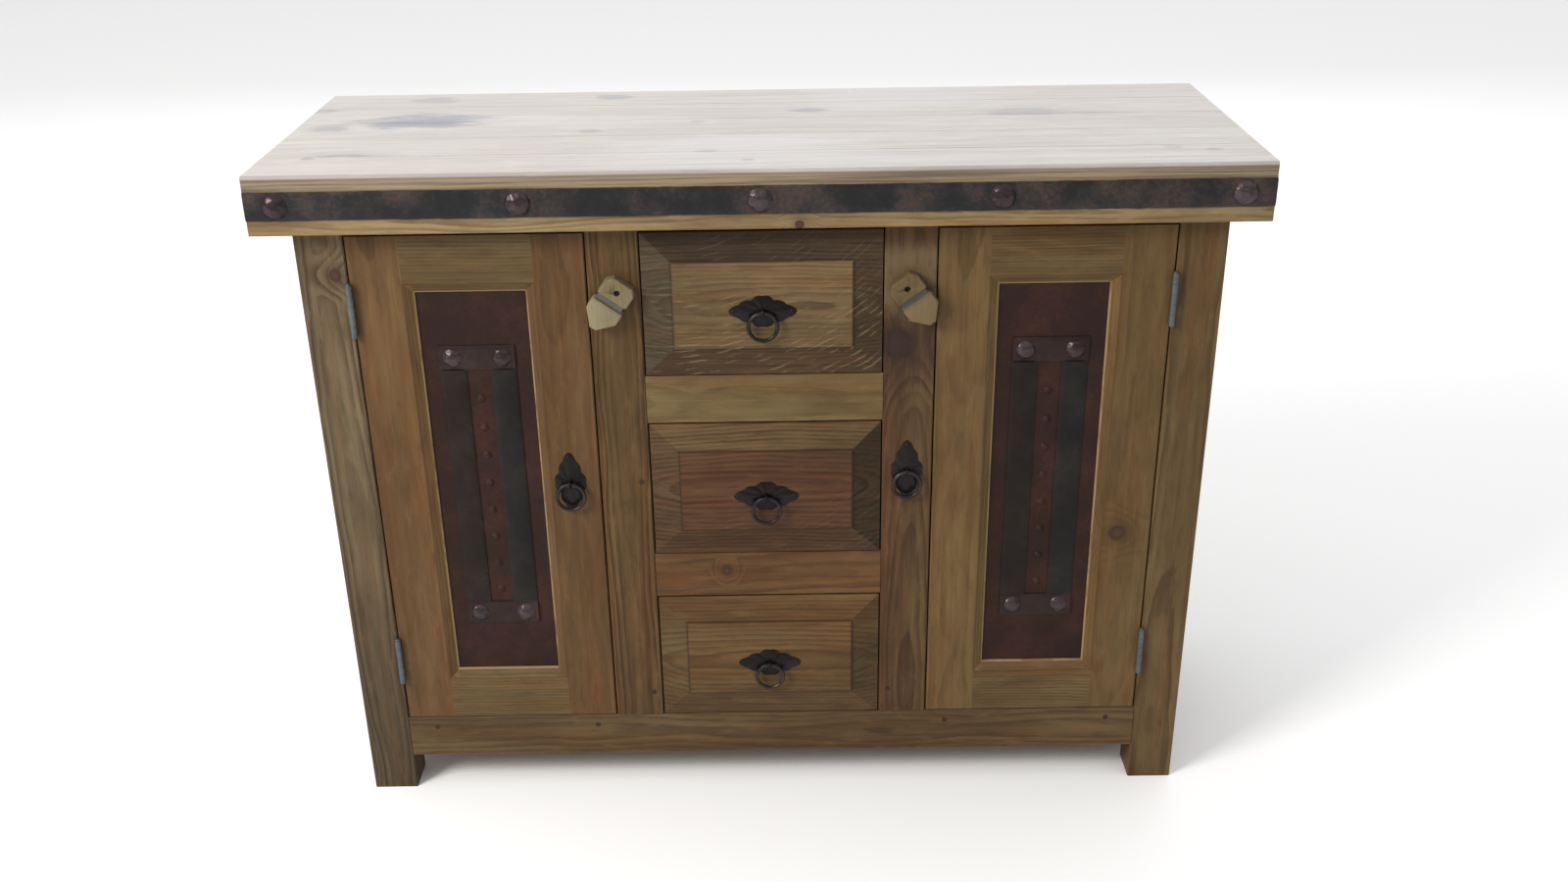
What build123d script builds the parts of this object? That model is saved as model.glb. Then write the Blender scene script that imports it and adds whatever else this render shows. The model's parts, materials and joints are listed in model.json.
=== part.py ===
from build123d import *
import math
import os

# Rustic pine sideboard: a thick top with an iron band, a face frame with three drawers between
# two doors, ring pulls, and a wooden turn latch beside each door.
#
# Millimetres, +Z up, +X to the right as seen from the front.  Every piece is modelled with y = 0 on
# the front of the face frame and +Y to the back.  saved() then moves it by FACE_Y, which puts the
# origin under the middle of the whole object.

# ---- overall sizes ----
BODY_W = 1280.0
BODY_D = 447.0
TOTAL_H = 1016.0

# ---- top ----
BOARD_T = 38.0
BOARD_COUNT = 5
APRON_H = 44.0
FRONT_OVERHANG = 36.0
SIDE_OVERHANG = 46.0
BACK_OVERHANG = 10.0
BAND_H = 38.1
BAND_T = 3.0
BAND_CLAVO_R = 17.0
BAND_CLAVO_H = 8.0
BAND_CLAVO_COUNT = 5
BAND_CLAVO_INSET = 41.0

# ---- carcass ----
POST_W = 67.5
POST_D = 60.0
FRAME_T = 28.0
BOTTOM_RAIL_Z = 61.0
BOTTOM_RAIL_H = 72.0
TOP_RAIL_H = 55.0
DRAWER_RAIL_H = 73.0
STILE_W = 72.6
DRAWER_OPENING_W = 338.6
SIDE_PANEL_T = 14.0
PANEL_TONGUE = 8.0
BACK_BOARD_T = 12.0
BACK_BOARD_COUNT = 8
FLOOR_T = 16.0
PARTITION_T = 16.0
SHELF_T = 18.0
SHELF_ABOVE_FLOOR = 385.0
BEARER = 20.0

# ---- doors ----
GAP = 2.0
DOOR_T = 22.0
DOOR_STILE_W = 86.0
DOOR_RAIL_H = 84.0
MOULD_W = 14.0
MOULD_DEPTH = 9.0
TENON_L = 40.0
TENON_T = 8.0
IRON_PANEL_T = 3.0
IRON_PANEL_RECESS = 11.0
IRON_PANEL_TONGUE = 8.0
STRAP_W = 37.0
STRAP_T = 2.5
CHANNEL_W = 34.0
STRAP_FRAME_END = 81.0
DOOR_CLAVO_R = 14.0
DOOR_CLAVO_H = 6.5
BOSS_R = 6.0
BOSS_H = 3.5
BOSS_COUNT = 8

# ---- hinges ----
HINGE_L = 76.2
HINGE_INSET = 106.0
KNUCKLE_R = 4.5
KNUCKLE_COUNT = 5
KNUCKLE_GAP = 0.4
HINGE_AXIS_OUT = 5.0
LEAF_T = 1.6
LEAF_DEPTH = 19.0
PIN_R = 2.4
PIN_CLEAR = 0.05
PIN_HEAD_R = 3.6
PIN_HEAD_H = 2.5

# ---- drawers ----
DRAWER_FRONT_T = 20.0
FIELD_BORDER = 41.5
BEVEL_RISE = 6.0
FIELD_STEP = 2.0
DRAWER_SIDE_T = 12.0
DRAWER_SIDE_PLAY = 2.0
DRAWER_BOX_L = 375.0
DRAWER_HEAD_ROOM = 22.0
DRAWER_BOTTOM_T = 6.0
DRAWER_BOTTOM_UP = 8.0
GROOVE_DEPTH = 5.0
RUNNER_H = 20.0
RUNNER_LAP = 9.0
RUNNER_GUIDE_H = 15.0
RUNNER_STOP_L = 10.0
RUN_CLEAR = 0.3

# ---- pulls ----
PULL_ABOVE_OPENING = 99.0
PLATE_HALF_L = 48.5
PLATE_T = 2.5
PLATE_NAIL_INSET = 7.5
PLATE_NAIL_R = 3.2
PLATE_NAIL_H = 2.0
NAIL_SHANK_R = 1.3
NAIL_SHANK_L = 14.0
RING_R = 20.25
RING_WIRE_R = 2.75
EYE_WIRE_R = 1.75
EYE_CLEAR = 0.4
EYE_LEG_L = 16.0
DOOR_PULL_DOWN = 378.0
STILE_PULL_DOWN = 366.0

# ---- turn latches ----
LATCH_T = 18.0
LATCH_UNDER = 0.8
LATCH_TILT = 35.5
LATCH_DOOR_CLEAR = 0.5
LATCH_DOWN = 83.0
LATCH_HEAD_FLAT = 15.0
LATCH_HEAD_UP = 16.0
LATCH_HEAD_HALF = 23.0
LATCH_HEAD_SIDE = 7.0
LATCH_GROOVE_TOP = 13.0
LATCH_GROOVE_BOTTOM = 23.0
LATCH_GROOVE_DEPTH = 5.0
LATCH_WAIST_HALF = 19.5
LATCH_NECK_SLOPE = 2.5
LATCH_FOOT_HALF = 24.0
LATCH_FOOT_SIDE = 41.0
LATCH_TIP_HALF = 5.0
LATCH_TIP_DOWN = 63.0
SCREW_SHANK_R = 2.5
SCREW_CLEAR = 0.06
SCREW_HEAD_R = 4.0
SCREW_BORE_R = 4.4
SCREW_BORE_DEPTH = 7.0
SCREW_HEAD_H = 3.0
SCREW_BITE = 16.0

# ---- wooden plugs ----
PEG_R = 4.0
PEG_L = 14.0
PEG_PROUD = 0.5

# ---- nails with domed heads ----
CLAVO_SHANK_R = 2.2
CLAVO_SHANK_L = 20.0
DOOR_CLAVO_SHANK_L = 5.0
BOSS_SHANK_R = 1.2
BOSS_SHANK_L = 2.5

# ---- softened edges ----
EDGE = 1.5
SLAB_EDGE = 4.0

# ---- worked out from the sizes above ----
HALF = BODY_W / 2
SLAB_HALF = HALF + SIDE_OVERHANG
SLAB_FRONT = -FRONT_OVERHANG
SLAB_BACK = BODY_D + BACK_OVERHANG
BAND_FRONT = SLAB_FRONT - BAND_T
FACE_Y = -(SLAB_BACK + BAND_FRONT - BAND_CLAVO_H) / 2
BOARD_Z = TOTAL_H - BOARD_T
APRON_Z = BOARD_Z - APRON_H
BAND_Z = (TOTAL_H + APRON_Z) / 2
POST_IN = HALF - POST_W
RAIL_TOP = BOTTOM_RAIL_Z + BOTTOM_RAIL_H
TOP_RAIL_Z = BOARD_Z - TOP_RAIL_H
OPEN_HALF = DRAWER_OPENING_W / 2
STILE_OUT = OPEN_HALF + STILE_W
STILE_MID = OPEN_HALF + STILE_W / 2
SIDE_IN = HALF - FRAME_T
BACK_RAIL_Y = BODY_D - BACK_BOARD_T - FRAME_T
DOOR_Z0 = RAIL_TOP + GAP
DOOR_Z1 = TOP_RAIL_Z - GAP
DOOR_X0 = STILE_OUT + GAP
DOOR_X1 = POST_IN - GAP
HINGE_X = (DOOR_X1 + POST_IN) / 2
DRAWER_OPENING_H = (TOP_RAIL_Z - RAIL_TOP - 2 * DRAWER_RAIL_H) / 3
DRAWER_NAMES = ["drawer_bottom", "drawer_middle", "drawer_top"]
DRAWER_Z = [RAIL_TOP + n * (DRAWER_OPENING_H + DRAWER_RAIL_H) for n in range(3)]
FIELD_Y = -(BEVEL_RISE + FIELD_STEP)
EYE_R = RING_WIRE_R + EYE_CLEAR + EYE_WIRE_R
EYE_OUT = EYE_R + EYE_WIRE_R + 0.15
HINGE_Z = [DOOR_Z0 + HINGE_INSET, DOOR_Z1 - HINGE_INSET]
DOOR_PULL_Z = DOOR_Z1 - DOOR_PULL_DOWN
STILE_PULL_Z = DOOR_Z1 - STILE_PULL_DOWN
LATCH_Z = TOP_RAIL_Z - LATCH_DOWN


# ---- helpers ----

def block(x, y, z):
    """A box from its two limits along each axis, given in either order."""
    size = [abs(limits[1] - limits[0]) for limits in (x, y, z)]
    middle = [(limits[0] + limits[1]) / 2 for limits in (x, y, z)]
    return Pos(*middle) * Box(*size)


def soft(shape, along, size):
    """Chamfers every edge that runs along the given axis."""
    return chamfer(shape.edges().filter_by(along), size)


def rod(x, z, y, radius):
    """A round bar along Y between two depths."""
    return Pos(x, (y[0] + y[1]) / 2, z) * Cylinder(radius, abs(y[1] - y[0]), rotation=(90, 0, 0))


def clavo(head_r, head_h, shank_r, shank_l):
    """A domed nail along Y: the head's flat underside lies on y = 0 and the dome faces -Y."""
    ball = (head_r ** 2 + head_h ** 2) / (2 * head_h)
    half_turn = math.asin(head_r / ball) / 2
    centre = ball - head_h
    middle = (ball * math.sin(half_turn), centre - ball * math.cos(half_turn))
    dome = ThreePointArc((0, -head_h), middle, (head_r, 0))
    rest = Polyline((head_r, 0), (shank_r, 0), (shank_r, shank_l), (0, shank_l), (0, -head_h))
    return revolve(make_face([dome, rest]), Axis.Y)


def saved(name, pieces):
    """Writes one node, as one solid or as a group of separate solids."""
    solids = []
    for piece in pieces:
        solids.extend(piece.solids())
    moved = [Pos(0, FACE_Y, 0) * solid for solid in solids]
    shape = moved[0] if len(moved) == 1 else Compound(children=moved)
    shape.label = name
    export_step(shape, "parts/" + name + ".step")


def both_sides(piece):
    """A piece and its mirror image in the middle plane."""
    return [piece, mirror(piece, Plane.YZ)]


# ---- top ----

def band_clavo_places():
    reach = SLAB_HALF - BAND_CLAVO_INSET
    pitch = 2 * reach / (BAND_CLAVO_COUNT - 1)
    return [-reach + n * pitch for n in range(BAND_CLAVO_COUNT)]


def top_planks():
    width = (SLAB_BACK - SLAB_FRONT) / BOARD_COUNT
    planks = []
    for n in range(BOARD_COUNT):
        front = SLAB_FRONT + n * width
        plank = block((-SLAB_HALF, SLAB_HALF), (front, front + width), (BOARD_Z, TOTAL_H))
        top_edges = plank.edges().filter_by(Axis.X).group_by(Axis.Z)[-1].sort_by(Axis.Y)
        plank = chamfer(top_edges[1], EDGE * 0.6)
        front_edge = plank.edges().filter_by(Axis.X).group_by(Axis.Z)[-1].sort_by(Axis.Y)[0]
        if n == 0:
            plank = fillet(front_edge, SLAB_EDGE)
        else:
            plank = chamfer(front_edge, EDGE * 0.6)
        planks.append(plank)
    return planks


def apron_front():
    apron = block((-SLAB_HALF, SLAB_HALF), (SLAB_FRONT, 0), (APRON_Z, BOARD_Z))
    lower_edge = apron.edges().filter_by(Axis.X).group_by(Axis.Z)[0].sort_by(Axis.Y)[0]
    apron = chamfer(lower_edge, EDGE)
    for x in band_clavo_places():
        apron -= rod(x, BAND_Z, (SLAB_FRONT - 1, SLAB_FRONT + CLAVO_SHANK_L - BAND_T), CLAVO_SHANK_R)
    return apron


def apron_side():
    apron = block((HALF, SLAB_HALF), (0, SLAB_BACK), (APRON_Z, BOARD_Z))
    lower_edge = apron.edges().filter_by(Axis.Y).group_by(Axis.Z)[0].sort_by(Axis.X)[-1]
    return chamfer(lower_edge, EDGE)


def iron_band():
    height = (BAND_Z - BAND_H / 2, BAND_Z + BAND_H / 2)
    band = block((-SLAB_HALF, SLAB_HALF), (BAND_FRONT, SLAB_FRONT), height)
    front_edges = band.edges().filter_by(Axis.X).group_by(Axis.Y)[0]
    band = chamfer(front_edges, BAND_T / 4)
    for x in band_clavo_places():
        band -= rod(x, BAND_Z, (BAND_FRONT - 1, SLAB_FRONT + 1), CLAVO_SHANK_R)
    return band


def band_clavos():
    nail = clavo(BAND_CLAVO_R, BAND_CLAVO_H, CLAVO_SHANK_R, CLAVO_SHANK_L)
    return [Pos(x, BAND_FRONT, BAND_Z) * nail for x in band_clavo_places()]


# ---- carcass ----

def side_panel():
    lower = RAIL_TOP - PANEL_TONGUE
    upper = TOP_RAIL_Z + PANEL_TONGUE
    middle = (SIDE_IN + HALF) / 2
    x = (middle - SIDE_PANEL_T / 2, middle + SIDE_PANEL_T / 2)
    return block(x, (POST_D - PANEL_TONGUE, BODY_D - POST_D + PANEL_TONGUE), (lower, upper))


def side_rails():
    y = (POST_D, BODY_D - POST_D)
    lower = block((SIDE_IN, HALF), y, (BOTTOM_RAIL_Z, RAIL_TOP))
    upper = block((SIDE_IN, HALF), y, (TOP_RAIL_Z, BOARD_Z))
    return [soft(rail, Axis.Y, EDGE) - side_panel() for rail in (lower, upper)]


def hinge_mortise(z_middle):
    """Space for one fixed leaf, let in flush with the post's inner face."""
    z = (z_middle - HINGE_L / 2, z_middle + HINGE_L / 2)
    return block((POST_IN, POST_IN + LEAF_T), (0, LEAF_DEPTH), z)


def front_post():
    post = block((POST_IN, HALF), (0, POST_D), (0, BOARD_Z))
    post = soft(post, Axis.Z, EDGE) - side_panel()
    for z in HINGE_Z:
        post -= hinge_mortise(z)
    return post


def rear_post():
    post = block((POST_IN, HALF), (BODY_D - POST_D, BODY_D), (0, BOARD_Z))
    return soft(post, Axis.Z, EDGE) - side_panel()


def bottom_rail():
    rail = soft(block((-POST_IN, POST_IN), (0, FRAME_T), (BOTTOM_RAIL_Z, RAIL_TOP)), Axis.X, EDGE)
    for x, z in rail_peg_places():
        rail -= rod(x, z, (-1, PEG_L), PEG_R)
    return rail


def top_rail():
    return soft(block((-POST_IN, POST_IN), (0, FRAME_T), (TOP_RAIL_Z, BOARD_Z)), Axis.X, EDGE)


def drawer_rail(z):
    return soft(block((-OPEN_HALF, OPEN_HALF), (0, FRAME_T), (z - DRAWER_RAIL_H, z)), Axis.X, EDGE)


def rail_peg_places():
    inset = 44.0
    beyond_stile = 32.0
    below_top = 18.0
    columns = (POST_IN - inset, STILE_OUT + beyond_stile)
    return [(side * x, RAIL_TOP - below_top) for side in (-1, 1) for x in columns]


def stile_peg_places(side):
    inset = 13.5
    above_rail = 42.0
    places = [(side * (OPEN_HALF + inset), RAIL_TOP + above_rail)]
    if side < 0:
        places.append((side * (OPEN_HALF + inset), DRAWER_Z[1] + DRAWER_OPENING_H / 2 + inset))
    return places


def stile(side):
    blank = block((side * OPEN_HALF, side * STILE_OUT), (0, FRAME_T), (RAIL_TOP, TOP_RAIL_Z))
    post = soft(blank, Axis.Z, EDGE)
    for x, z in stile_peg_places(side):
        post -= rod(x, z, (-1, PEG_L), PEG_R)
    post -= rod(side * LATCH_X, LATCH_Z, (-1, SCREW_BITE), SCREW_SHANK_R)
    if side > 0:
        post -= pull_holes(side * STILE_MID, STILE_PULL_Z, 0, 90)
    return post


def wood_pegs():
    places = rail_peg_places() + stile_peg_places(-1) + stile_peg_places(1)
    return [rod(x, z, (-PEG_PROUD, PEG_L), PEG_R) for x, z in places]


def rear_rails():
    y = (BACK_RAIL_Y, BACK_RAIL_Y + FRAME_T)
    lower = block((-POST_IN, POST_IN), y, (BOTTOM_RAIL_Z, RAIL_TOP))
    upper = block((-POST_IN, POST_IN), y, (TOP_RAIL_Z, BOARD_Z))
    return [lower, upper]


def back_boards():
    width = 2 * POST_IN / BACK_BOARD_COUNT
    boards = []
    for n in range(BACK_BOARD_COUNT):
        x = -POST_IN + n * width
        board = block((x, x + width), (BODY_D - BACK_BOARD_T, BODY_D), (BOTTOM_RAIL_Z, BOARD_Z))
        boards.append(soft(board, Axis.Z, EDGE))
    return boards


def floor_board():
    board = block((-SIDE_IN, SIDE_IN), (FRAME_T, BACK_RAIL_Y), (RAIL_TOP - FLOOR_T, RAIL_TOP))
    for side in (-1, 1):
        board -= block((side * POST_IN, side * HALF), (0, POST_D), (0, BOARD_Z))
        board -= block((side * POST_IN, side * HALF), (BODY_D - POST_D, BODY_D), (0, BOARD_Z))
    return board


def partition():
    x = (STILE_MID - PARTITION_T / 2, STILE_MID + PARTITION_T / 2)
    return block(x, (FRAME_T, BACK_RAIL_Y), (RAIL_TOP, BOARD_Z))


SHELF_X = (STILE_MID + PARTITION_T / 2, (SIDE_IN + HALF) / 2 - SIDE_PANEL_T / 2)
SHELF_Y = (POST_D, BODY_D - POST_D)
SHELF_Z = RAIL_TOP + SHELF_ABOVE_FLOOR


def shelf():
    return block(SHELF_X, SHELF_Y, (SHELF_Z - SHELF_T, SHELF_Z))


def bearers():
    """Strips that carry the floor board and the shelf on one side of the cabinet."""
    under_shelf = (SHELF_Z - SHELF_T - BEARER, SHELF_Z - SHELF_T)
    under_floor = (RAIL_TOP - FLOOR_T - BEARER, RAIL_TOP - FLOOR_T)
    inner = block((SHELF_X[0], SHELF_X[0] + BEARER), SHELF_Y, under_shelf)
    outer = block((SHELF_X[1] - BEARER, SHELF_X[1]), SHELF_Y, under_shelf)
    low = block((SIDE_IN - BEARER, SIDE_IN), SHELF_Y, under_floor)
    return [inner, outer, low]


# ---- drawers ----

DRAWER_BOX_HALF = OPEN_HALF - DRAWER_SIDE_PLAY - 1.0


def runner(z):
    """L-shaped runner on a partition, with a stop behind the drawer.

    The lowest drawer slides on the floor board, so its runner has no bed.
    """
    wall = STILE_MID - PARTITION_T / 2
    inner = DRAWER_BOX_HALF - RUNNER_LAP
    guide = DRAWER_BOX_HALF + DRAWER_SIDE_PLAY
    box_end = DRAWER_FRONT_T + DRAWER_BOX_L
    y = (FRAME_T, box_end + RUN_CLEAR + RUNNER_STOP_L)
    strip = block((guide, wall), y, (z, z + RUNNER_GUIDE_H))
    stop = block((inner, wall), (box_end + RUN_CLEAR, y[1]), (z, z + RUNNER_GUIDE_H))
    if z == RAIL_TOP:
        return strip + stop
    return block((inner, wall), y, (z - RUNNER_H, z)) + strip + stop


def facing_front(x, y, z, width, height):
    """A rectangle in an upright plane that faces the front."""
    plane = Plane(origin=(x, y, z), x_dir=(1, 0, 0), z_dir=(0, -1, 0))
    return plane * Rectangle(width, height)


def drawer_front(z):
    width = DRAWER_OPENING_W - 2 * GAP
    height = DRAWER_OPENING_H - 2 * GAP
    middle = z + DRAWER_OPENING_H / 2
    field_w = width - 2 * FIELD_BORDER
    field_h = height - 2 * FIELD_BORDER
    front = block((-width / 2, width / 2), (0, DRAWER_FRONT_T), (middle - height / 2, middle + height / 2))
    foot = facing_front(0, 0, middle, width, height)
    crown = facing_front(0, -BEVEL_RISE, middle, field_w, field_h)
    front += loft([foot.faces()[0], crown.faces()[0]], ruled=True)
    field_z = (middle - field_h / 2, middle + field_h / 2)
    front += block((-field_w / 2, field_w / 2), (FIELD_Y, 0), field_z)
    front -= drawer_bottom(z)
    return front - pull_holes(0, z + PULL_ABOVE_OPENING, FIELD_Y, 0)


def drawer_sides_z(z):
    return (z + RUN_CLEAR, z + DRAWER_OPENING_H - DRAWER_HEAD_ROOM)


def drawer_box(z):
    y = (DRAWER_FRONT_T, DRAWER_FRONT_T + DRAWER_BOX_L)
    side = block((DRAWER_BOX_HALF - DRAWER_SIDE_T, DRAWER_BOX_HALF), y, drawer_sides_z(z))
    inside = DRAWER_BOX_HALF - DRAWER_SIDE_T
    back = block((-inside, inside), (y[1] - DRAWER_SIDE_T, y[1]), drawer_sides_z(z))
    return [piece - drawer_bottom(z) for piece in both_sides(side) + [back]]


def drawer_bottom(z):
    half = DRAWER_BOX_HALF - DRAWER_SIDE_T + GROOVE_DEPTH
    level = z + RUN_CLEAR + DRAWER_BOTTOM_UP
    end = DRAWER_FRONT_T + DRAWER_BOX_L - DRAWER_SIDE_T + GROOVE_DEPTH
    return block((-half, half), (DRAWER_FRONT_T - GROOVE_DEPTH, end), (level, level + DRAWER_BOTTOM_T))


# ---- ring pulls ----

def plate_outline():
    """Scalloped lozenge, long axis along X: one quarter as arcs, mirrored twice."""
    quarter = [
        ThreePointArc((0, 20.0), (7.0, 19.0), (12.0, 16.5)),
        ThreePointArc((12.0, 16.5), (24.0, 17.0), (33.0, 11.0)),
        ThreePointArc((33.0, 11.0), (41.5, 5.8), (PLATE_HALF_L, 0)),
    ]
    half = quarter + [mirror(edge, Plane.YZ) for edge in quarter]
    whole = half + [mirror(edge, Plane.XZ) for edge in half]
    return make_face(whole)


def pull_plate(x, z, y, turn):
    """Plate lying on a face at depth y; turn stands it upright."""
    plane = Plane(origin=(x, y, z), x_dir=(1, 0, 0), z_dir=(0, -1, 0))
    plate = extrude(plane * (Rot(0, 0, turn) * plate_outline()), PLATE_T)
    return plate - pull_holes(x, z, y, turn)


def plate_nail_places(x, z, turn):
    reach = PLATE_HALF_L - PLATE_NAIL_INSET
    along = (math.cos(math.radians(turn)), math.sin(math.radians(turn)))
    return [(x + side * reach * along[0], z + side * reach * along[1]) for side in (-1, 1)]


def pull_holes(x, z, y, turn):
    """The holes that the eye's leg and the plate's nails need, through the plate and into the wood."""
    holes = rod(x, z, (y - PLATE_T - 1, y + EYE_LEG_L), EYE_WIRE_R)
    nail_end = y - PLATE_T + NAIL_SHANK_L
    for nail_x, nail_z in plate_nail_places(x, z, turn):
        holes += rod(nail_x, nail_z, (y - PLATE_T - 1, nail_end), NAIL_SHANK_R)
    return holes


def pull_eye(x, z, y):
    """Staple eye: a loop in front of the plate and a leg driven into the wood."""
    front = y - PLATE_T
    loop = Pos(x, front - EYE_OUT, z) * Torus(EYE_R, EYE_WIRE_R, rotation=(0, 90, 0))
    leg = rod(x, z, (front - EYE_OUT + EYE_R, y + EYE_LEG_L), EYE_WIRE_R)
    return loop + leg


def pull_set(x, z, y, turn):
    nail = clavo(PLATE_NAIL_R, PLATE_NAIL_H, NAIL_SHANK_R, NAIL_SHANK_L)
    nails = [Pos(nx, y - PLATE_T, nz) * nail for nx, nz in plate_nail_places(x, z, turn)]
    return [pull_plate(x, z, y, turn), pull_eye(x, z, y)] + nails


def pull_ring(x, z, y):
    return Pos(x, y - PLATE_T - EYE_OUT, z - RING_R) * Torus(RING_R, RING_WIRE_R, rotation=(90, 0, 0))


# ---- doors (modelled on the right, mirrored for the left) ----

PANEL_X = (DOOR_X0 + DOOR_STILE_W, DOOR_X1 - DOOR_STILE_W)
PANEL_Z = (DOOR_Z0 + DOOR_RAIL_H, DOOR_Z1 - DOOR_RAIL_H)
PANEL_MID_X = (PANEL_X[0] + PANEL_X[1]) / 2
PANEL_MID_Z = (PANEL_Z[0] + PANEL_Z[1]) / 2
STRAP_X = (CHANNEL_W + STRAP_W) / 2
STRAP_ROW = (PANEL_Z[1] - PANEL_Z[0]) / 2 - STRAP_FRAME_END - STRAP_W / 2


def iron_panel():
    tongue = IRON_PANEL_TONGUE
    x = (PANEL_X[0] - tongue, PANEL_X[1] + tongue)
    z = (PANEL_Z[0] - tongue, PANEL_Z[1] + tongue)
    return block(x, (IRON_PANEL_RECESS, IRON_PANEL_RECESS + IRON_PANEL_T), z)


def door_frame():
    """The whole frame as one blank with the moulded opening and the panel's groove."""
    frame = soft(block((DOOR_X0, DOOR_X1), (0, DOOR_T), (DOOR_Z0, DOOR_Z1)), Axis.Z, EDGE)
    width = PANEL_X[1] - PANEL_X[0]
    height = PANEL_Z[1] - PANEL_Z[0]
    frame -= block(PANEL_X, (-1, DOOR_T + 1), PANEL_Z)
    mouth = facing_front(PANEL_MID_X, 0, PANEL_MID_Z, width + 2 * MOULD_W, height + 2 * MOULD_W)
    throat = facing_front(PANEL_MID_X, MOULD_DEPTH, PANEL_MID_Z, width, height)
    frame -= loft([mouth.faces()[0], throat.faces()[0]], ruled=True)
    return frame - iron_panel()


def rail_region(level, reach):
    """Where a door rail lies in the blank: each shoulder steps in by the width of the moulding."""
    outer = (PANEL_X[0] - MOULD_W, PANEL_X[1] + MOULD_W)
    shoulder = level - math.copysign(MOULD_W, reach)
    corners = [
        (outer[0], level - reach),
        (outer[1], level - reach),
        (outer[1], shoulder),
        (PANEL_X[1], shoulder),
        (PANEL_X[1], level),
        (PANEL_X[0], level),
        (PANEL_X[0], shoulder),
        (outer[0], shoulder),
    ]
    face = make_face(Polyline(*corners, close=True))
    plane = Plane(origin=(0, DOOR_T + 1, 0), x_dir=(1, 0, 0), z_dir=(0, -1, 0))
    return extrude(plane * face, DOOR_T + 2)


def tenons(level, reach):
    inner = level - reach * 0.25
    outer = level - reach * 0.75
    y = (DOOR_T - TENON_T, DOOR_T - TENON_T / 4)
    right = block((PANEL_X[1] + MOULD_W, PANEL_X[1] + MOULD_W + TENON_L), y, (inner, outer))
    left = block((PANEL_X[0] - MOULD_W - TENON_L, PANEL_X[0] - MOULD_W), y, (inner, outer))
    return left + right


def door_wood():
    """Two stiles and two rails of the right-hand door."""
    frame = door_frame()
    rails = []
    stiles = frame
    for level, reach in ((PANEL_Z[0], DOOR_RAIL_H), (PANEL_Z[1], -DOOR_RAIL_H)):
        region = rail_region(level, reach)
        pegs = tenons(level, reach)
        rails.append((frame & region) + pegs)
        stiles = stiles - region - pegs
    for z in HINGE_Z:
        stiles -= block((DOOR_X1 - LEAF_T, DOOR_X1), (0, LEAF_DEPTH), (z - HINGE_L / 2, z + HINGE_L / 2))
    return stiles, rails


def strap_frame():
    y = (IRON_PANEL_RECESS - STRAP_T, IRON_PANEL_RECESS)
    outer = STRAP_X + STRAP_W / 2
    straps = []
    for side in (-1, 1):
        x = PANEL_MID_X + side * STRAP_X
        z = PANEL_MID_Z + side * STRAP_ROW
        reach = STRAP_ROW - STRAP_W / 2
        upright = block((x - STRAP_W / 2, x + STRAP_W / 2), y, (PANEL_MID_Z - reach, PANEL_MID_Z + reach))
        across = block((PANEL_MID_X - outer, PANEL_MID_X + outer), y, (z - STRAP_W / 2, z + STRAP_W / 2))
        straps += [upright, across]
    return straps


def strap_clavo_places():
    return [(PANEL_MID_X + a * STRAP_X, PANEL_MID_Z + b * STRAP_ROW) for a in (-1, 1) for b in (-1, 1)]


def boss_places():
    """A column of small nails, evenly spaced between the upper and lower straps."""
    channel = 2 * STRAP_ROW - STRAP_W
    pitch = channel / (BOSS_COUNT + 0.5)
    first = PANEL_MID_Z - channel / 2 + pitch / 2
    return [(PANEL_MID_X, first + n * pitch) for n in range(BOSS_COUNT)]


def door_nails():
    face = IRON_PANEL_RECESS - STRAP_T
    big = clavo(DOOR_CLAVO_R, DOOR_CLAVO_H, CLAVO_SHANK_R, DOOR_CLAVO_SHANK_L)
    small = clavo(BOSS_R, BOSS_H, BOSS_SHANK_R, BOSS_SHANK_L)
    nails = [Pos(x, face, z) * big for x, z in strap_clavo_places()]
    nails += [Pos(x, IRON_PANEL_RECESS, z) * small for x, z in boss_places()]
    return nails


def without_nail_holes(plate):
    """Cuts the nails' shanks out of a sheet or strap."""
    back = IRON_PANEL_RECESS - STRAP_T
    for x, z in strap_clavo_places():
        plate -= rod(x, z, (back, back + DOOR_CLAVO_SHANK_L), CLAVO_SHANK_R)
    for x, z in boss_places():
        plate -= rod(x, z, (IRON_PANEL_RECESS, IRON_PANEL_RECESS + BOSS_SHANK_L), BOSS_SHANK_R)
    return plate


# ---- hinges (modelled on the right: the door is on the -X side of the pin) ----

def knuckle_span(n, z_middle):
    pitch = HINGE_L / KNUCKLE_COUNT
    low = z_middle - HINGE_L / 2 + n * pitch
    return (low + KNUCKLE_GAP / 2, low + pitch - KNUCKLE_GAP / 2)


def hinge_leaf(z_middle, first, side):
    """One leaf with every second knuckle: side is +1 for the fixed leaf and -1 for the door's leaf."""
    near = HINGE_X + side * GAP / 2
    far = near + side * LEAF_T
    z = (z_middle - HINGE_L / 2, z_middle + HINGE_L / 2)
    leaf = block((near, far), (0.3, LEAF_DEPTH), z)
    for n in range(first, KNUCKLE_COUNT, 2):
        span = knuckle_span(n, z_middle)
        leaf += block((near, far), (-HINGE_AXIS_OUT, 0.3), span)
        height = span[1] - span[0]
        leaf += Pos(HINGE_X, -HINGE_AXIS_OUT, (span[0] + span[1]) / 2) * Cylinder(KNUCKLE_R, height)
    return leaf - Pos(HINGE_X, -HINGE_AXIS_OUT, z_middle) * Cylinder(PIN_R + PIN_CLEAR, HINGE_L * 1.5)


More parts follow.
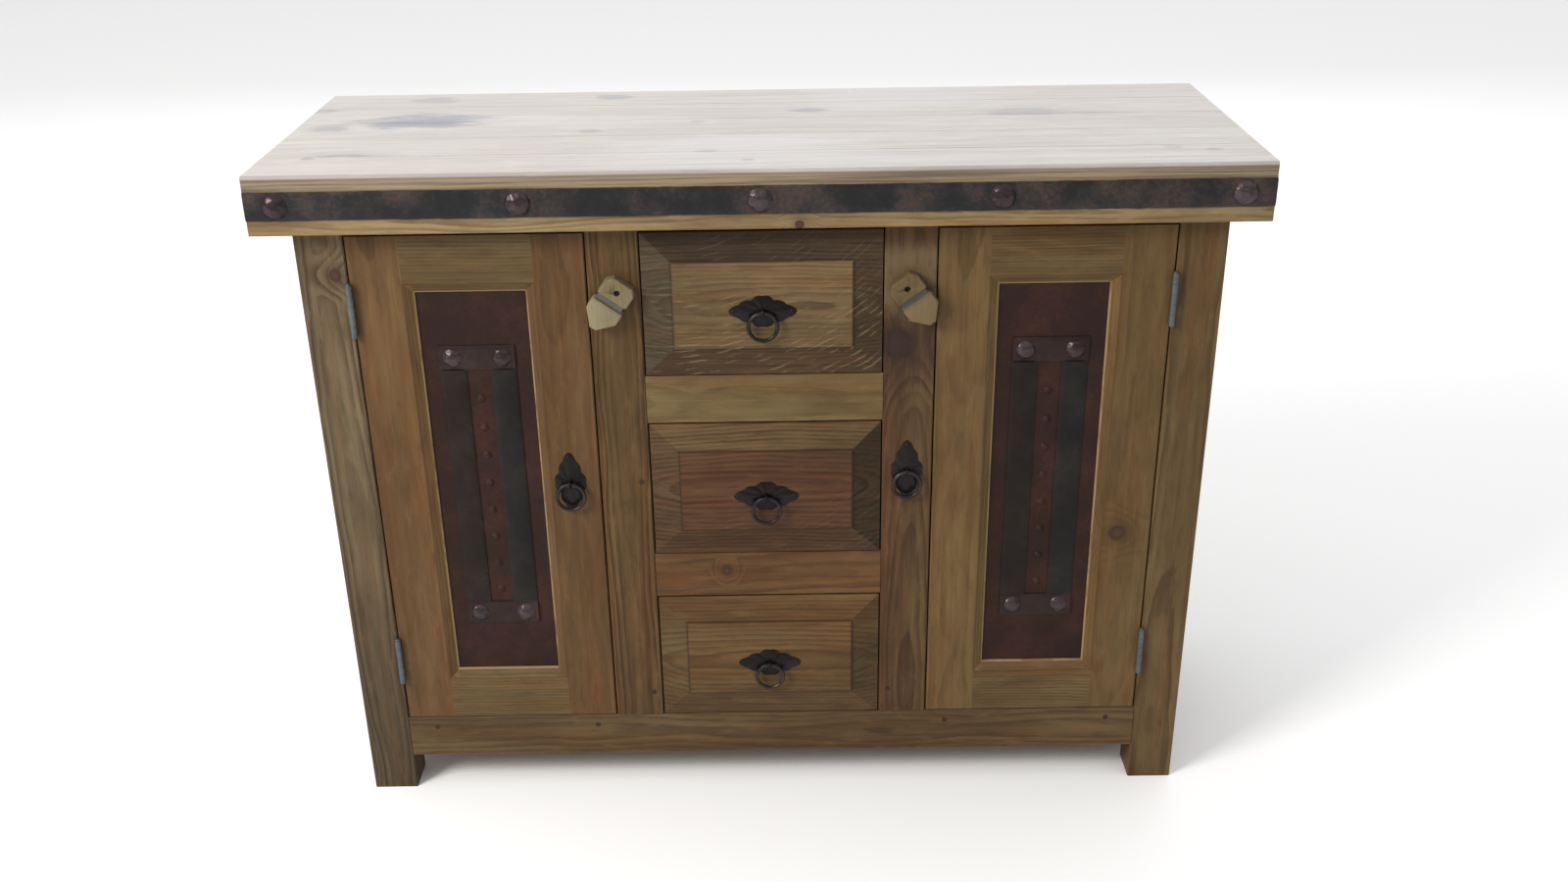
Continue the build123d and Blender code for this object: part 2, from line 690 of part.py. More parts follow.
def hinge_pin(z_middle):
    """Pin with a button head at each end, resting on the outer knuckles."""
    top = HINGE_L / 2 - KNUCKLE_GAP / 2
    centre = Pos(HINGE_X, -HINGE_AXIS_OUT, z_middle)
    pin = centre * Cylinder(PIN_R, 2 * top)
    for side in (-1, 1):
        cap = Cylinder(PIN_HEAD_R, PIN_HEAD_H)
        rim = cap.edges().filter_by(GeomType.CIRCLE).sort_by(Axis.Z)[0 if side < 0 else -1]
        pin += centre * (Pos(0, 0, side * (top + PIN_HEAD_H / 2)) * fillet(rim, PIN_HEAD_H * 0.6))
    return pin


# ---- turn latches ----

def latch_half_outline():
    """Right half of a latch that hangs straight down from its screw at (0, 0)."""
    return [
        (LATCH_HEAD_FLAT, LATCH_HEAD_UP),
        (LATCH_HEAD_HALF, LATCH_HEAD_SIDE),
        (LATCH_HEAD_HALF, -LATCH_GROOVE_TOP),
        (LATCH_WAIST_HALF, -LATCH_GROOVE_TOP - LATCH_NECK_SLOPE),
        (LATCH_WAIST_HALF, -LATCH_GROOVE_BOTTOM + LATCH_NECK_SLOPE),
        (LATCH_FOOT_HALF, -LATCH_GROOVE_BOTTOM - LATCH_NECK_SLOPE),
        (LATCH_FOOT_HALF, -LATCH_FOOT_SIDE),
        (LATCH_TIP_HALF, -LATCH_TIP_DOWN),
    ]


def latch_reach():
    """How far the tilted latch stretches sideways from its screw."""
    tilt = math.radians(LATCH_TILT)
    return max(x * math.cos(tilt) - z * math.sin(tilt) for x, z in latch_half_outline())


LATCH_X = DOOR_X0 - LATCH_DOOR_CLEAR - latch_reach()


def latch():
    """Right-hand latch, tilted so that its tip points at the door's edge."""
    right = latch_half_outline()
    left = [(-x, z) for x, z in reversed(right)]
    face = make_face(Polyline(*(right + left), close=True))
    plane = Plane(origin=(0, -LATCH_UNDER, 0), x_dir=(1, 0, 0), z_dir=(0, -1, 0))
    body = extrude(plane * face, LATCH_T)
    front_rim = body.faces().sort_by(Axis.Y)[0].edges()
    body = chamfer(front_rim, EDGE)
    front = -LATCH_UNDER - LATCH_T
    groove = (-LATCH_GROOVE_BOTTOM, -LATCH_GROOVE_TOP)
    reach = LATCH_FOOT_HALF + 1
    body -= block((-reach, reach), (front - 1, front + LATCH_GROOVE_DEPTH), groove)
    body -= rod(0, 0, (front - 1, 1), SCREW_SHANK_R + SCREW_CLEAR)
    body -= rod(0, 0, (front - 1, front + SCREW_BORE_DEPTH), SCREW_BORE_R)
    return Pos(LATCH_X, 0, LATCH_Z) * (Rot(0, -LATCH_TILT, 0) * body)


def latch_screw():
    front = -LATCH_UNDER - LATCH_T
    seat = front + SCREW_BORE_DEPTH - 0.1
    head = rod(LATCH_X, LATCH_Z, (seat - SCREW_HEAD_H, seat), SCREW_HEAD_R)
    slot_depth = (seat - SCREW_HEAD_H - 1, seat - SCREW_HEAD_H + 1)
    slot_width = (LATCH_Z - 0.5, LATCH_Z + 0.5)
    slot = block((LATCH_X - SCREW_HEAD_R, LATCH_X + SCREW_HEAD_R), slot_depth, slot_width)
    return head - slot + rod(LATCH_X, LATCH_Z, (seat, SCREW_BITE), SCREW_SHANK_R)


# ---- the whole object ----

def save_carcass():
    saved("top_planks", top_planks())
    saved("apron_front", [apron_front()])
    saved("apron_sides", both_sides(apron_side()))
    saved("iron_band", [iron_band()])
    saved("band_clavos", band_clavos())
    posts = both_sides(front_post())
    saved("post_front_right", [posts[0]])
    saved("post_front_left", [posts[1]])
    saved("rear_posts", both_sides(rear_post()))
    saved("bottom_rail", [bottom_rail()])
    saved("lower_drawer_rail", [drawer_rail(DRAWER_Z[1])])
    saved("upper_drawer_rail", [drawer_rail(DRAWER_Z[2])])
    saved("top_rail", [top_rail()])
    saved("stile_left", [stile(-1)])
    saved("stile_right", [stile(1)])
    rails = side_rails()
    saved("side_rails", both_sides(rails[0]) + both_sides(rails[1]))
    saved("side_panels", both_sides(side_panel()))
    saved("rear_rails", rear_rails())
    saved("back_boards", back_boards())
    saved("floor_board", [floor_board()])
    saved("partitions", both_sides(partition()))
    saved("shelves", both_sides(shelf()))
    strips = []
    for strip in bearers():
        strips += both_sides(strip)
    saved("bearers", strips)
    tracks = []
    for z in DRAWER_Z:
        tracks += both_sides(runner(z))
    saved("drawer_runners", tracks)
    saved("wood_pegs", wood_pegs())
    saved("right_pull_plate", pull_set(STILE_MID, STILE_PULL_Z, 0, 90))


def save_doors():
    stiles, rails = door_wood()
    panel = without_nail_holes(iron_panel())
    straps = [without_nail_holes(strap) for strap in strap_frame()]
    nails = door_nails()
    moving = [hinge_leaf(z, 1, -1) for z in HINGE_Z]
    pull_x = DOOR_X0 + DOOR_STILE_W / 2
    holes = pull_holes(pull_x, DOOR_PULL_Z, 0, 90)
    for side, name in ((1, "door_right_"), (-1, "door_left_")):
        def placed(pieces):
            return list(pieces) if side > 0 else [mirror(piece, Plane.YZ) for piece in pieces]
        uprights = stiles if side > 0 else stiles - holes
        saved(name + "stiles", placed(uprights.solids()))
        saved(name + "rails", placed(rails))
        saved(name + "panel", placed([panel]))
        saved(name + "straps", placed(straps))
        saved(name + "nails", placed(nails))
        saved(name + "hinge_leaves", placed(moving))
    saved("left_pull_plate", pull_set(-pull_x, DOOR_PULL_Z, 0, 90))
    saved("left_pull_ring", [pull_ring(-pull_x, DOOR_PULL_Z, 0)])
    saved("right_pull_ring", [pull_ring(STILE_MID, STILE_PULL_Z, 0)])


def save_hinges():
    leaves = []
    pins = []
    for z in HINGE_Z:
        leaves += both_sides(hinge_leaf(z, 0, 1))
        pins += both_sides(hinge_pin(z))
    saved("frame_hinge_leaves", leaves)
    saved("hinge_pins", pins)


def save_drawers():
    for name, z in zip(DRAWER_NAMES, DRAWER_Z):
        height = z + PULL_ABOVE_OPENING
        saved(name + "_front", [drawer_front(z)])
        saved(name + "_box", drawer_box(z))
        saved(name + "_base", [drawer_bottom(z)])
        saved(name + "_pull_plate", pull_set(0, height, FIELD_Y, 0))
        saved(name + "_pull_ring", [pull_ring(0, height, FIELD_Y)])


def save_latches():
    pair = both_sides(latch())
    saved("latch_right", [pair[0]])
    saved("latch_left", [pair[1]])
    saved("latch_screws", both_sides(latch_screw()))


os.makedirs("parts", exist_ok=True)
save_carcass()
save_doors()
save_hinges()
save_drawers()
save_latches()
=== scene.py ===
import json
import math

import bmesh
import bpy
from mathutils import Euler, Matrix, Vector, noise

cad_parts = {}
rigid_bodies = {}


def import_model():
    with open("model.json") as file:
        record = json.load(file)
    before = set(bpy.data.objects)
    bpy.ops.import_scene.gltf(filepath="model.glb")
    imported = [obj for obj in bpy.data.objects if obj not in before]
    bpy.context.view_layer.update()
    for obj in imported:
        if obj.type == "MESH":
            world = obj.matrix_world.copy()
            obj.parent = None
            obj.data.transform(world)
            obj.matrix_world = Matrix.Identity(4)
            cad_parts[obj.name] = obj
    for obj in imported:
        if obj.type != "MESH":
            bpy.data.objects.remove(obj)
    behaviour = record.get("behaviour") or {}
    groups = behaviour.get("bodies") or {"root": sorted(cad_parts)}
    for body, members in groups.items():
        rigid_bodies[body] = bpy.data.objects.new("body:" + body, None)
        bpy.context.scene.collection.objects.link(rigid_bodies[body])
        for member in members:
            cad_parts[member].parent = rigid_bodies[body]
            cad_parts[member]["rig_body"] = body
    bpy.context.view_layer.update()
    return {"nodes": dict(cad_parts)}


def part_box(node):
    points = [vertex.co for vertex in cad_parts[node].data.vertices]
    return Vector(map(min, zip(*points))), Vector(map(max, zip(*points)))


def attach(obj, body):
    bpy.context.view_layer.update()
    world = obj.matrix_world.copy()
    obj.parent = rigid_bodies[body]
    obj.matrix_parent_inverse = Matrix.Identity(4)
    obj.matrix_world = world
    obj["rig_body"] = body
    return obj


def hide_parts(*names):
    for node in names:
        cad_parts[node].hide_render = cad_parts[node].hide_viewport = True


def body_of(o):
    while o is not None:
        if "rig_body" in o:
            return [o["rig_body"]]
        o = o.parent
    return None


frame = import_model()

# ---------------------------------------------------------------------------
# Places read from the frame
# ---------------------------------------------------------------------------


def span(node):
    """Lowest corner, highest corner and middle of a CAD node."""
    low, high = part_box(node)
    return low, high, (low + high) / 2


FACE_Y = span("bottom_rail")[0].y
TOP_Z = span("top_planks")[1].z
DRAWERS = ("drawer_top", "drawer_middle", "drawer_bottom")
SIDES = ("left", "right")


# ---------------------------------------------------------------------------
# Shader building
# ---------------------------------------------------------------------------


class Graph:
    """Short calls that add nodes to one node tree."""

    def __init__(self, tree):
        self.tree = tree

    def node(self, kind, inputs=None, **settings):
        made = self.tree.nodes.new(kind)
        for name, value in settings.items():
            setattr(made, name, value)
        for name, value in (inputs or {}).items():
            self.feed(made.inputs[name], value)
        return made

    def feed(self, socket, value):
        if isinstance(value, bpy.types.NodeSocket):
            self.tree.links.new(value, socket)
        elif isinstance(value, (tuple, list)) and socket.type == "RGBA" and len(value) == 3:
            socket.default_value = (*value, 1)
        else:
            socket.default_value = value

    def math(self, operation, a, b=0.5, c=0.5):
        return self.node("ShaderNodeMath", {0: a, 1: b, 2: c}, operation=operation).outputs[0]

    def times(self, a, b):
        return self.math("MULTIPLY", a, b)

    def plus(self, a, b):
        return self.math("ADD", a, b)

    def minus(self, a, b):
        return self.math("SUBTRACT", a, b)

    def size(self, a):
        return self.math("ABSOLUTE", a)

    def chance(self, number):
        """A value from 0 to 1 that belongs to one whole number or seed."""
        return self.node("ShaderNodeTexWhiteNoise", {"W": number}, noise_dimensions="1D").outputs["Value"]

    def length(self, a, b):
        """Length of the hypotenuse over a and b."""
        return self.math("SQRT", self.plus(self.times(a, a), self.times(b, b)))

    def step(self, value, low, high, to_low=0.0, to_high=1.0):
        """A smooth step of value between low and high."""
        wanted = {"Value": value, "From Min": low, "From Max": high, "To Min": to_low, "To Max": to_high}
        return self.node("ShaderNodeMapRange", wanted, interpolation_type="SMOOTHSTEP").outputs[0]

    def mix(self, factor, a, b, blend="MIX"):
        made = self.node("ShaderNodeMix", data_type="RGBA", blend_type=blend)
        made.clamp_factor = True
        self.feed(made.inputs[0], factor)
        self.feed(made.inputs[6], a)
        self.feed(made.inputs[7], b)
        return made.outputs[2]

    def vector(self, operation, a, b):
        return self.node("ShaderNodeVectorMath", {0: a, 1: b}, operation=operation).outputs[0]

    def split(self, vector):
        return self.node("ShaderNodeSeparateXYZ", {0: vector}).outputs

    def join(self, x, y, z):
        return self.node("ShaderNodeCombineXYZ", {0: x, 1: y, 2: z}).outputs[0]

    def object_point(self):
        return self.node("ShaderNodeTexCoord").outputs["Object"]

    def noise(self, vector, detail=2.0, roughness=0.5, scale=1.0, stretch=None):
        """Noise over a vector, which may first be stretched; its outputs are Fac and Color."""
        if stretch:
            vector = self.vector("MULTIPLY", vector, stretch)
        wanted = {"Vector": vector, "Scale": scale, "Detail": detail, "Roughness": roughness}
        return self.node("ShaderNodeTexNoise", wanted).outputs


def new_group(name, inputs, outputs):
    """An empty node group: inputs and outputs are (name, kind, default) and (name, kind)."""
    tree = bpy.data.node_groups.new(name, "ShaderNodeTree")
    for label, kind, default in inputs:
        socket = tree.interface.new_socket(label, in_out="INPUT", socket_type=kind)
        if default is not None:
            socket.default_value = default
    for label, kind in outputs:
        tree.interface.new_socket(label, in_out="OUTPUT", socket_type=kind)
    graph = Graph(tree)
    return tree, graph, graph.node("NodeGroupInput").outputs, graph.node("NodeGroupOutput").inputs


FLOAT = "NodeSocketFloat"
VECTOR = "NodeSocketVector"


def make_pine_figure():
    """Grain of a sawn pine board: X runs along the board, Y across its face and Z into it."""
    labels = ("Late", "Fibre", "Knot", "Core", "Halo", "Tone", "Blush", "Mottle", "Height")
    tree, g, given, out = new_group(
        "pine_figure",
        [("Vector", VECTOR, None), ("Seed", FLOAT, 0.0), ("Pith", FLOAT, 0.06), ("Ring", FLOAT, 0.006),
         ("Knots", FLOAT, 0.3), ("Waver", FLOAT, 0.05), ("Spot", VECTOR, None), ("Spot Size", FLOAT, 0.001)],
        [(label, FLOAT) for label in labels],
    )
    seed = given["Seed"]
    shift = g.join(g.times(seed, 3.71), g.times(seed, 1.33), g.times(seed, 2.17))
    place = g.vector("ADD", given["Vector"], shift)
    along, across, depth = g.split(given["Vector"])
    ragged = g.noise(place, 4.0, 0.6, stretch=(60.0, 60.0, 60.0))["Fac"]

    # Knots: one chance in each cell of a coarse pattern, and one knot that the board surely has.
    px, py, pz = g.split(place)
    flat = g.join(g.times(px, 2.6), g.times(py, 6.5), 0.0)
    cells = g.node("ShaderNodeTexVoronoi", {"Vector": flat, "Scale": 1.0}, voronoi_dimensions="2D")
    chance = g.split(cells.outputs["Color"])
    size = g.math("MULTIPLY_ADD", chance[1], 0.8, 0.5)
    far = g.math("DIVIDE", cells.outputs["Distance"], size)
    far = g.plus(far, g.times(g.math("GREATER_THAN", chance[0], given["Knots"]), 9.0))
    rx, ry, rz = g.split(g.vector("SUBTRACT", given["Vector"], given["Spot"]))
    far = g.math("MINIMUM", far, g.times(g.math("DIVIDE", g.length(rx, ry), given["Spot Size"]), 0.10))
    rough_far = g.plus(far, g.math("MULTIPLY_ADD", ragged, 0.08, -0.04))
    knot = g.step(rough_far, 0.125, 0.080)
    bulge = g.step(far, 0.5, 0.05)

    # Growth rings round a pith line behind the face, wandering along the board.
    wx, wy, wz = g.split(g.noise(place, 3.0, stretch=(1.5, 3.5, 3.5))["Color"])
    ripple = g.noise(place, 3.0, stretch=(9.0, 45.0, 45.0))["Fac"]
    side = g.plus(across, g.times(g.minus(wx, 0.5), given["Waver"]))
    back = g.plus(g.plus(depth, given["Pith"]), g.times(g.minus(wy, 0.5), given["Waver"]))
    radius = g.plus(g.plus(g.length(side, back), g.times(ripple, 0.0030)), g.times(bulge, 0.016))
    turn = g.math("DIVIDE", radius, given["Ring"])
    phase = g.math("FRACT", turn)
    late = g.times(g.step(phase, 0.20, 0.90), g.step(phase, 1.0, 0.92))
    year = g.chance(g.math("FLOOR", turn))
    late = g.times(late, g.math("MULTIPLY_ADD", year, 0.7, 0.3))

    fibre = g.noise(place, 3.0, 0.7, stretch=(11.0, 640.0, 640.0))["Fac"]
    streak = g.noise(place, 3.0, stretch=(3.0, 130.0, 130.0))["Fac"]
    fine = g.plus(g.times(fibre, 0.55), g.times(streak, 0.45))
    mottle = g.noise(place, 5.0, 0.65, stretch=(16.0, 70.0, 70.0))["Fac"]
    late = g.times(late, g.step(mottle, 0.30, 0.52, 0.45, 1.0))
    height = g.minus(g.plus(g.times(fine, 0.6), g.times(late, 0.45)), g.times(knot, 0.4))
    found = {
        "Late": late,
        "Fibre": fine,
        "Knot": knot,
        "Core": g.step(rough_far, 0.085, 0.01),
        "Halo": g.step(rough_far, 0.30, 0.09),
        "Tone": g.noise(place, 4.0, 0.6, stretch=(2.4, 11.0, 11.0))["Fac"],
        "Blush": g.noise(place, 4.0, 0.6, stretch=(1.9, 34.0, 34.0))["Fac"],
        "Mottle": mottle,
        "Height": height,
    }
    for label in labels:
        g.feed(out[label], found[label])
    return tree


def make_saw_marks():
    """Pale arcs that a circular saw leaves across a board, round a centre off the board."""
    tree, g, given, out = new_group(
        "saw_marks",
        [("Vector", VECTOR, None), ("Centre", VECTOR, None), ("Pitch", FLOAT, 0.009), ("Amount", FLOAT, 0.5)],
        [("Mark", FLOAT)],
    )
    place = given["Vector"]
    rx, ry, rz = g.split(g.vector("SUBTRACT", place, given["Centre"]))
    shake = g.noise(place, 3.0, stretch=(30.0, 30.0, 30.0))["Fac"]
    radius = g.plus(g.length(rx, ry), g.times(shake, 0.007))
    phase = g.math("FRACT", g.math("DIVIDE", radius, given["Pitch"]))
    line = g.times(g.step(phase, 0.66, 0.88), g.step(phase, 1.0, 0.92))
    worn = g.noise(place, 4.0, 0.6, stretch=(26.0, 40.0, 40.0))["Fac"]
    patch = g.noise(place, 2.0, stretch=(9.0, 12.0, 12.0))["Fac"]
    kept = g.times(g.step(worn, 0.46, 0.62), g.step(patch, 0.34, 0.52))
    g.feed(out["Mark"], g.times(g.times(line, kept), given["Amount"]))
    return tree


def make_rust_figure():
    """Forged iron: hammer marks, scale, and where rust has broken through."""
    tree, g, given, out = new_group(
        "rust_figure",
        [("Vector", VECTOR, None), ("Rust", FLOAT, 0.3), ("Grain", FLOAT, 1.0)],
        [("Rust", FLOAT), ("Cloud", FLOAT), ("Height", FLOAT)],
    )
    wanted = {0: given["Vector"], "Scale": given["Grain"]}
    place = g.node("ShaderNodeVectorMath", wanted, operation="SCALE").outputs[0]
    cloud = g.noise(place, 5.0, 0.6, scale=14.0)["Fac"]
    speck = g.noise(place, 4.0, 0.65, scale=160.0)["Fac"]
    pit = g.noise(place, 3.0, 0.6, scale=420.0)["Fac"]
    level = g.plus(g.times(cloud, 0.55), g.times(speck, 0.45))
    edge = g.minus(0.85, g.times(given["Rust"], 0.7))
    rust = g.step(level, g.minus(edge, 0.14), g.plus(edge, 0.1))
    dents = g.node("ShaderNodeTexVoronoi", {"Vector": place, "Scale": 95.0}, feature="SMOOTH_F1")
    height = g.plus(g.times(dents.outputs["Distance"], 0.6), g.times(pit, 0.35))
    height = g.plus(height, g.times(rust, 0.15))
    g.feed(out["Rust"], rust)
    g.feed(out["Cloud"], cloud)
    g.feed(out["Height"], height)
    return tree


PINE = make_pine_figure()
SAW = make_saw_marks()
RUST = make_rust_figure()

# Width of the bevels round a drawer's raised field, and how deep a door's panel sits in its frame.
FIELD_BORDER = 0.0415
PANEL_TONGUE = 0.008
FIELD_Y = span("drawer_top_front")[0].y

# How the board's own axes lie in the object: along the grain, across the face, into the board.
LYING = ("x", "z", "y")
STANDING = ("z", "x", "y")
TABLE = ("x", "y", "z")
SIDEWAYS = ("y", "z", "x")
UPRIGHT_SIDE = ("z", "y", "x")


def board_place(g, grain, middle, pitch=None, first=0.0):
    """Object coordinates turned into a board's own, and the board's number where boards repeat."""
    axes = dict(zip("xyz", g.split(g.object_point())))
    centre = dict(zip("xyz", middle))
    along, across, depth = (g.minus(axes[letter], centre[letter]) for letter in grain)
    number = 0.0
    if pitch:
        across = g.minus(across, first)
        number = g.math("ROUND", g.math("DIVIDE", across, pitch))
        across = g.minus(across, g.times(number, pitch))
    return g.join(along, across, depth), number


def new_material(name):
    material = bpy.data.materials.new(name)
    material.use_nodes = True
    material.node_tree.nodes.clear()
    g = Graph(material.node_tree)
    shader = g.node("ShaderNodeBsdfPrincipled")
    g.node("ShaderNodeOutputMaterial", {"Surface": shader.outputs[0]})
    return material, g, shader.inputs


def add_relief(g, shader, height, distance, strength):
    bump = g.node("ShaderNodeBump", {"Height": height, "Distance": distance, "Strength": strength})
    g.feed(shader["Normal"], bump.outputs[0])


def placed_group(g, tree, inputs):
    made = g.node("ShaderNodeGroup", node_tree=tree)
    for name, value in inputs.items():
        g.feed(made.inputs[name], value)
    return made.outputs


def toned(colour, factor):
    return tuple(min(1.0, channel * factor) for channel in colour)


def between(light, dark):
    return tuple(0.5 * (a + b) for a, b in zip(light, dark))


# Each board further along a run carries its sure knot this much further off, so only the first one shows it.
KNOT_ELSEWHERE = 10.0
BOARD_SEED_STEP = 1.618
NO_KNOT = 0.0001
BLUSH_TONE = (1.02, 0.80, 0.66)
KNOT_TONE = (0.040, 0.020, 0.013)


def sure_knot(g, grain, middle, number, first, spot):
    """A knot's place on its board, given as the object's x and z; it lies on board number 0 only."""
    there = dict(zip("xyz", (spot[0], middle[1], spot[1])))
    centre = dict(zip("xyz", middle))
    along = there[grain[0]] - centre[grain[0]]
    across = there[grain[1]] - centre[grain[1]] - first
    return g.join(g.math("MULTIPLY_ADD", number, KNOT_ELSEWHERE, along), across, 0.0)


def pine(name, grain, tones, middle, seed, pitch=None, first=0.0, knots=0.12, ring=0.005, pith=0.06,
         rough=0.52, tint=None, contrast=1.0, stain=0.5, coat=0.0, relief=0.5, spot=(0.0, 0.0),
         spot_size=NO_KNOT, shine=0.15, knot_tone=KNOT_TONE, own_spread=0.30, blush=0.85):
    """Stained pine. tint(g, colour, place, figure) may add what one piece alone shows."""
    light, dark = tones
    material, g, shader = new_material(name)
    place, number = board_place(g, grain, middle, pitch, first)
    own_seed = g.plus(seed, g.times(number, BOARD_SEED_STEP)) if pitch else seed
    figure = placed_group(g, PINE, {
        "Vector": place, "Seed": own_seed, "Pith": pith, "Ring": ring, "Knots": knots,
        "Spot": sure_knot(g, grain, middle, number, first, spot), "Spot Size": spot_size,
    })
    colour = g.mix(g.step(figure["Tone"], 0.34, 0.64), light, between(light, dark))
    colour = g.mix(g.step(figure["Blush"], 0.44, 0.66, 0.0, blush), colour, BLUSH_TONE, "MULTIPLY")
    colour = g.mix(g.times(figure["Late"], 0.85 * contrast), colour, dark)
    dusky = g.step(figure["Mottle"], 0.50, 0.72)
    colour = g.mix(g.times(dusky, stain), colour, dark)
    pale = g.step(figure["Mottle"], 0.46, 0.28)
    colour = g.mix(g.times(pale, 0.30), colour, toned(light, 1.30))
    fibre = g.step(figure["Fibre"], 0.50, 0.70)
    colour = g.mix(g.times(fibre, 0.55 * contrast), colour, toned(dark, 0.75))
    bright = g.step(figure["Fibre"], 0.47, 0.30)
    colour = g.mix(g.times(bright, 0.35), colour, toned(light, 1.35))
    if pitch:
        colour = g.mix(g.step(g.chance(own_seed), 0.0, 1.0, 0.0, own_spread), colour, dark)
    colour = g.mix(g.times(figure["Halo"], 0.45), colour, toned(dark, 0.85))
    colour = g.mix(g.times(figure["Knot"], 0.90), colour, knot_tone)
    colour = g.mix(g.times(figure["Core"], 0.55), colour, toned(knot_tone, 1.9))
    if tint:
        colour = tint(g, colour, place, figure)
    g.feed(shader["Base Color"], colour)
    g.feed(shader["Roughness"], g.math("MULTIPLY_ADD", figure["Fibre"], 0.30, rough - 0.15))
    shader["Specular IOR Level"].default_value = shine
    shader["Coat Weight"].default_value = coat
    shader["Coat Roughness"].default_value = 0.22
    add_relief(g, shader, figure["Height"], 0.0007, relief)
    return material


def iron(name, base, sheen, rust_colour, rust=0.3, rough=0.5, metallic=0.6, relief=0.5, shine=0.3):
    """Blackened iron with rust."""
    material, g, shader = new_material(name)
    figure = placed_group(g, RUST, {"Vector": g.object_point(), "Rust": rust})
    colour = g.mix(g.step(figure["Cloud"], 0.35, 0.7), base, sheen)
    colour = g.mix(figure["Rust"], colour, rust_colour)
    g.feed(shader["Base Color"], colour)
    g.feed(shader["Roughness"], g.math("MULTIPLY_ADD", figure["Rust"], 0.3, rough))
    g.feed(shader["Metallic"], g.math("MULTIPLY_ADD", figure["Rust"], -metallic * 0.85, metallic))
    shader["Specular IOR Level"].default_value = shine
    add_relief(g, shader, figure["Height"], 0.0012, relief)
    return material


# ---------------------------------------------------------------------------
# Finishes
# ---------------------------------------------------------------------------

# Each stain is the pale early wood and the dark late wood.
GREY_OLIVE = ((0.138, 0.101, 0.054), (0.045, 0.028, 0.015))
OLIVE = ((0.135, 0.088, 0.037), (0.052, 0.029, 0.011))
SOFT_OLIVE = ((0.144, 0.101, 0.042), (0.068, 0.041, 0.016))
DULL_OLIVE = ((0.116, 0.081, 0.034), (0.055, 0.033, 0.013))
GOLDEN = ((0.142, 0.089, 0.034), (0.056, 0.030, 0.010))
BROWN = ((0.112, 0.066, 0.025), (0.034, 0.018, 0.007))
ORANGE = ((0.138, 0.078, 0.031), (0.053, 0.026, 0.009))
TAN = ((0.156, 0.107, 0.049), (0.062, 0.037, 0.016))
MAROON = ((0.096, 0.046, 0.021), (0.034, 0.015, 0.007))
RUSSET = ((0.122, 0.064, 0.025), (0.056, 0.026, 0.010))
AMBER = ((0.128, 0.076, 0.029), (0.055, 0.028, 0.010))
DEEP = ((0.112, 0.066, 0.028), (0.034, 0.017, 0.008))
BASE_BROWN = ((0.112, 0.072, 0.031), (0.042, 0.024, 0.010))
HONEY = ((0.246, 0.179, 0.090), (0.113, 0.071, 0.031))
RAW = ((0.430, 0.315, 0.180), (0.250, 0.160, 0.080))
SOOT = ((0.045, 0.026, 0.014), (0.022, 0.013, 0.008))
# The top's pale stain: partly the wood's own colour, partly painted sheen of the bright backdrop.
PALE_STAIN_AND_SHEEN = ((0.374, 0.344, 0.308), (0.245, 0.212, 0.182))
CARVED = {
    "left": ((0.200, 0.166, 0.090), (0.112, 0.082, 0.040)),
    "right": ((0.125, 0.086, 0.040), (0.072, 0.047, 0.021)),
}

# Tones of single marks.
CARVED_POINT = {"left": (0.255, 0.226, 0.138), "right": (0.172, 0.128, 0.064)}
CUT_TONE = (0.100, 0.098, 0.088)
SAW_TONE = (0.205, 0.152, 0.078)
# Painted shade along the step round a drawer's raised field.
FIELD_STEP_SHADE_TONE = (0.024, 0.014, 0.008)
MITRE_TONE = (0.030, 0.018, 0.010)
# Pale line on the door mouldings' inner edge: partly rubbed stain, partly a painted highlight.
RUBBED_AND_HIGHLIGHT_TONE = (0.285, 0.200, 0.096)
MOULDING_TONE = (0.030, 0.018, 0.009)
FOOT_SHADE = (0.52, 0.52, 0.56)
BLOND_TONE = (0.132, 0.093, 0.047)
DUSK_TONE = (0.038, 0.021, 0.015)
BRUISE_TONE = (0.085, 0.085, 0.120)
ROSY_TONE = (0.320, 0.268, 0.245)
COOL_TONE = (0.400, 0.380, 0.400)
EDGE_LIGHT = (0.225, 0.165, 0.092)
EDGE_DARK = (0.095, 0.064, 0.034)
EDGE_STAIN = (0.060, 0.045, 0.034)

# A board whose middle is this near the face has its rings laid out from the face.
NEAR_FACE = 0.05
BACK_BOARD_W = 0.143125

# The saw's centre in a drawer front's own axes, and the distance between its marks.
SAW_CENTRE = (-0.16, 0.40, 0.0)
SAW_PITCH = 0.0095

# Where the right latch's screw stands, how far the latches lean, and how far below the screw the saw cut is.
LATCH_PIVOT = (0.20005, 0.840)
LATCH_TILT = math.radians(35.5)
LATCH_CUT = 0.018

# How far outside the panel's opening the moulding starts and ends.
RUBBED_HIGHLIGHT_LINE = 0.0008
MOULDING_LINE = 0.0142


def past_rim(g, x, z, half):
    """How far a point lies outside a rectangle round zero: sideways and upright."""
    return g.minus(g.size(x), half.x), g.minus(g.size(z), half.z)


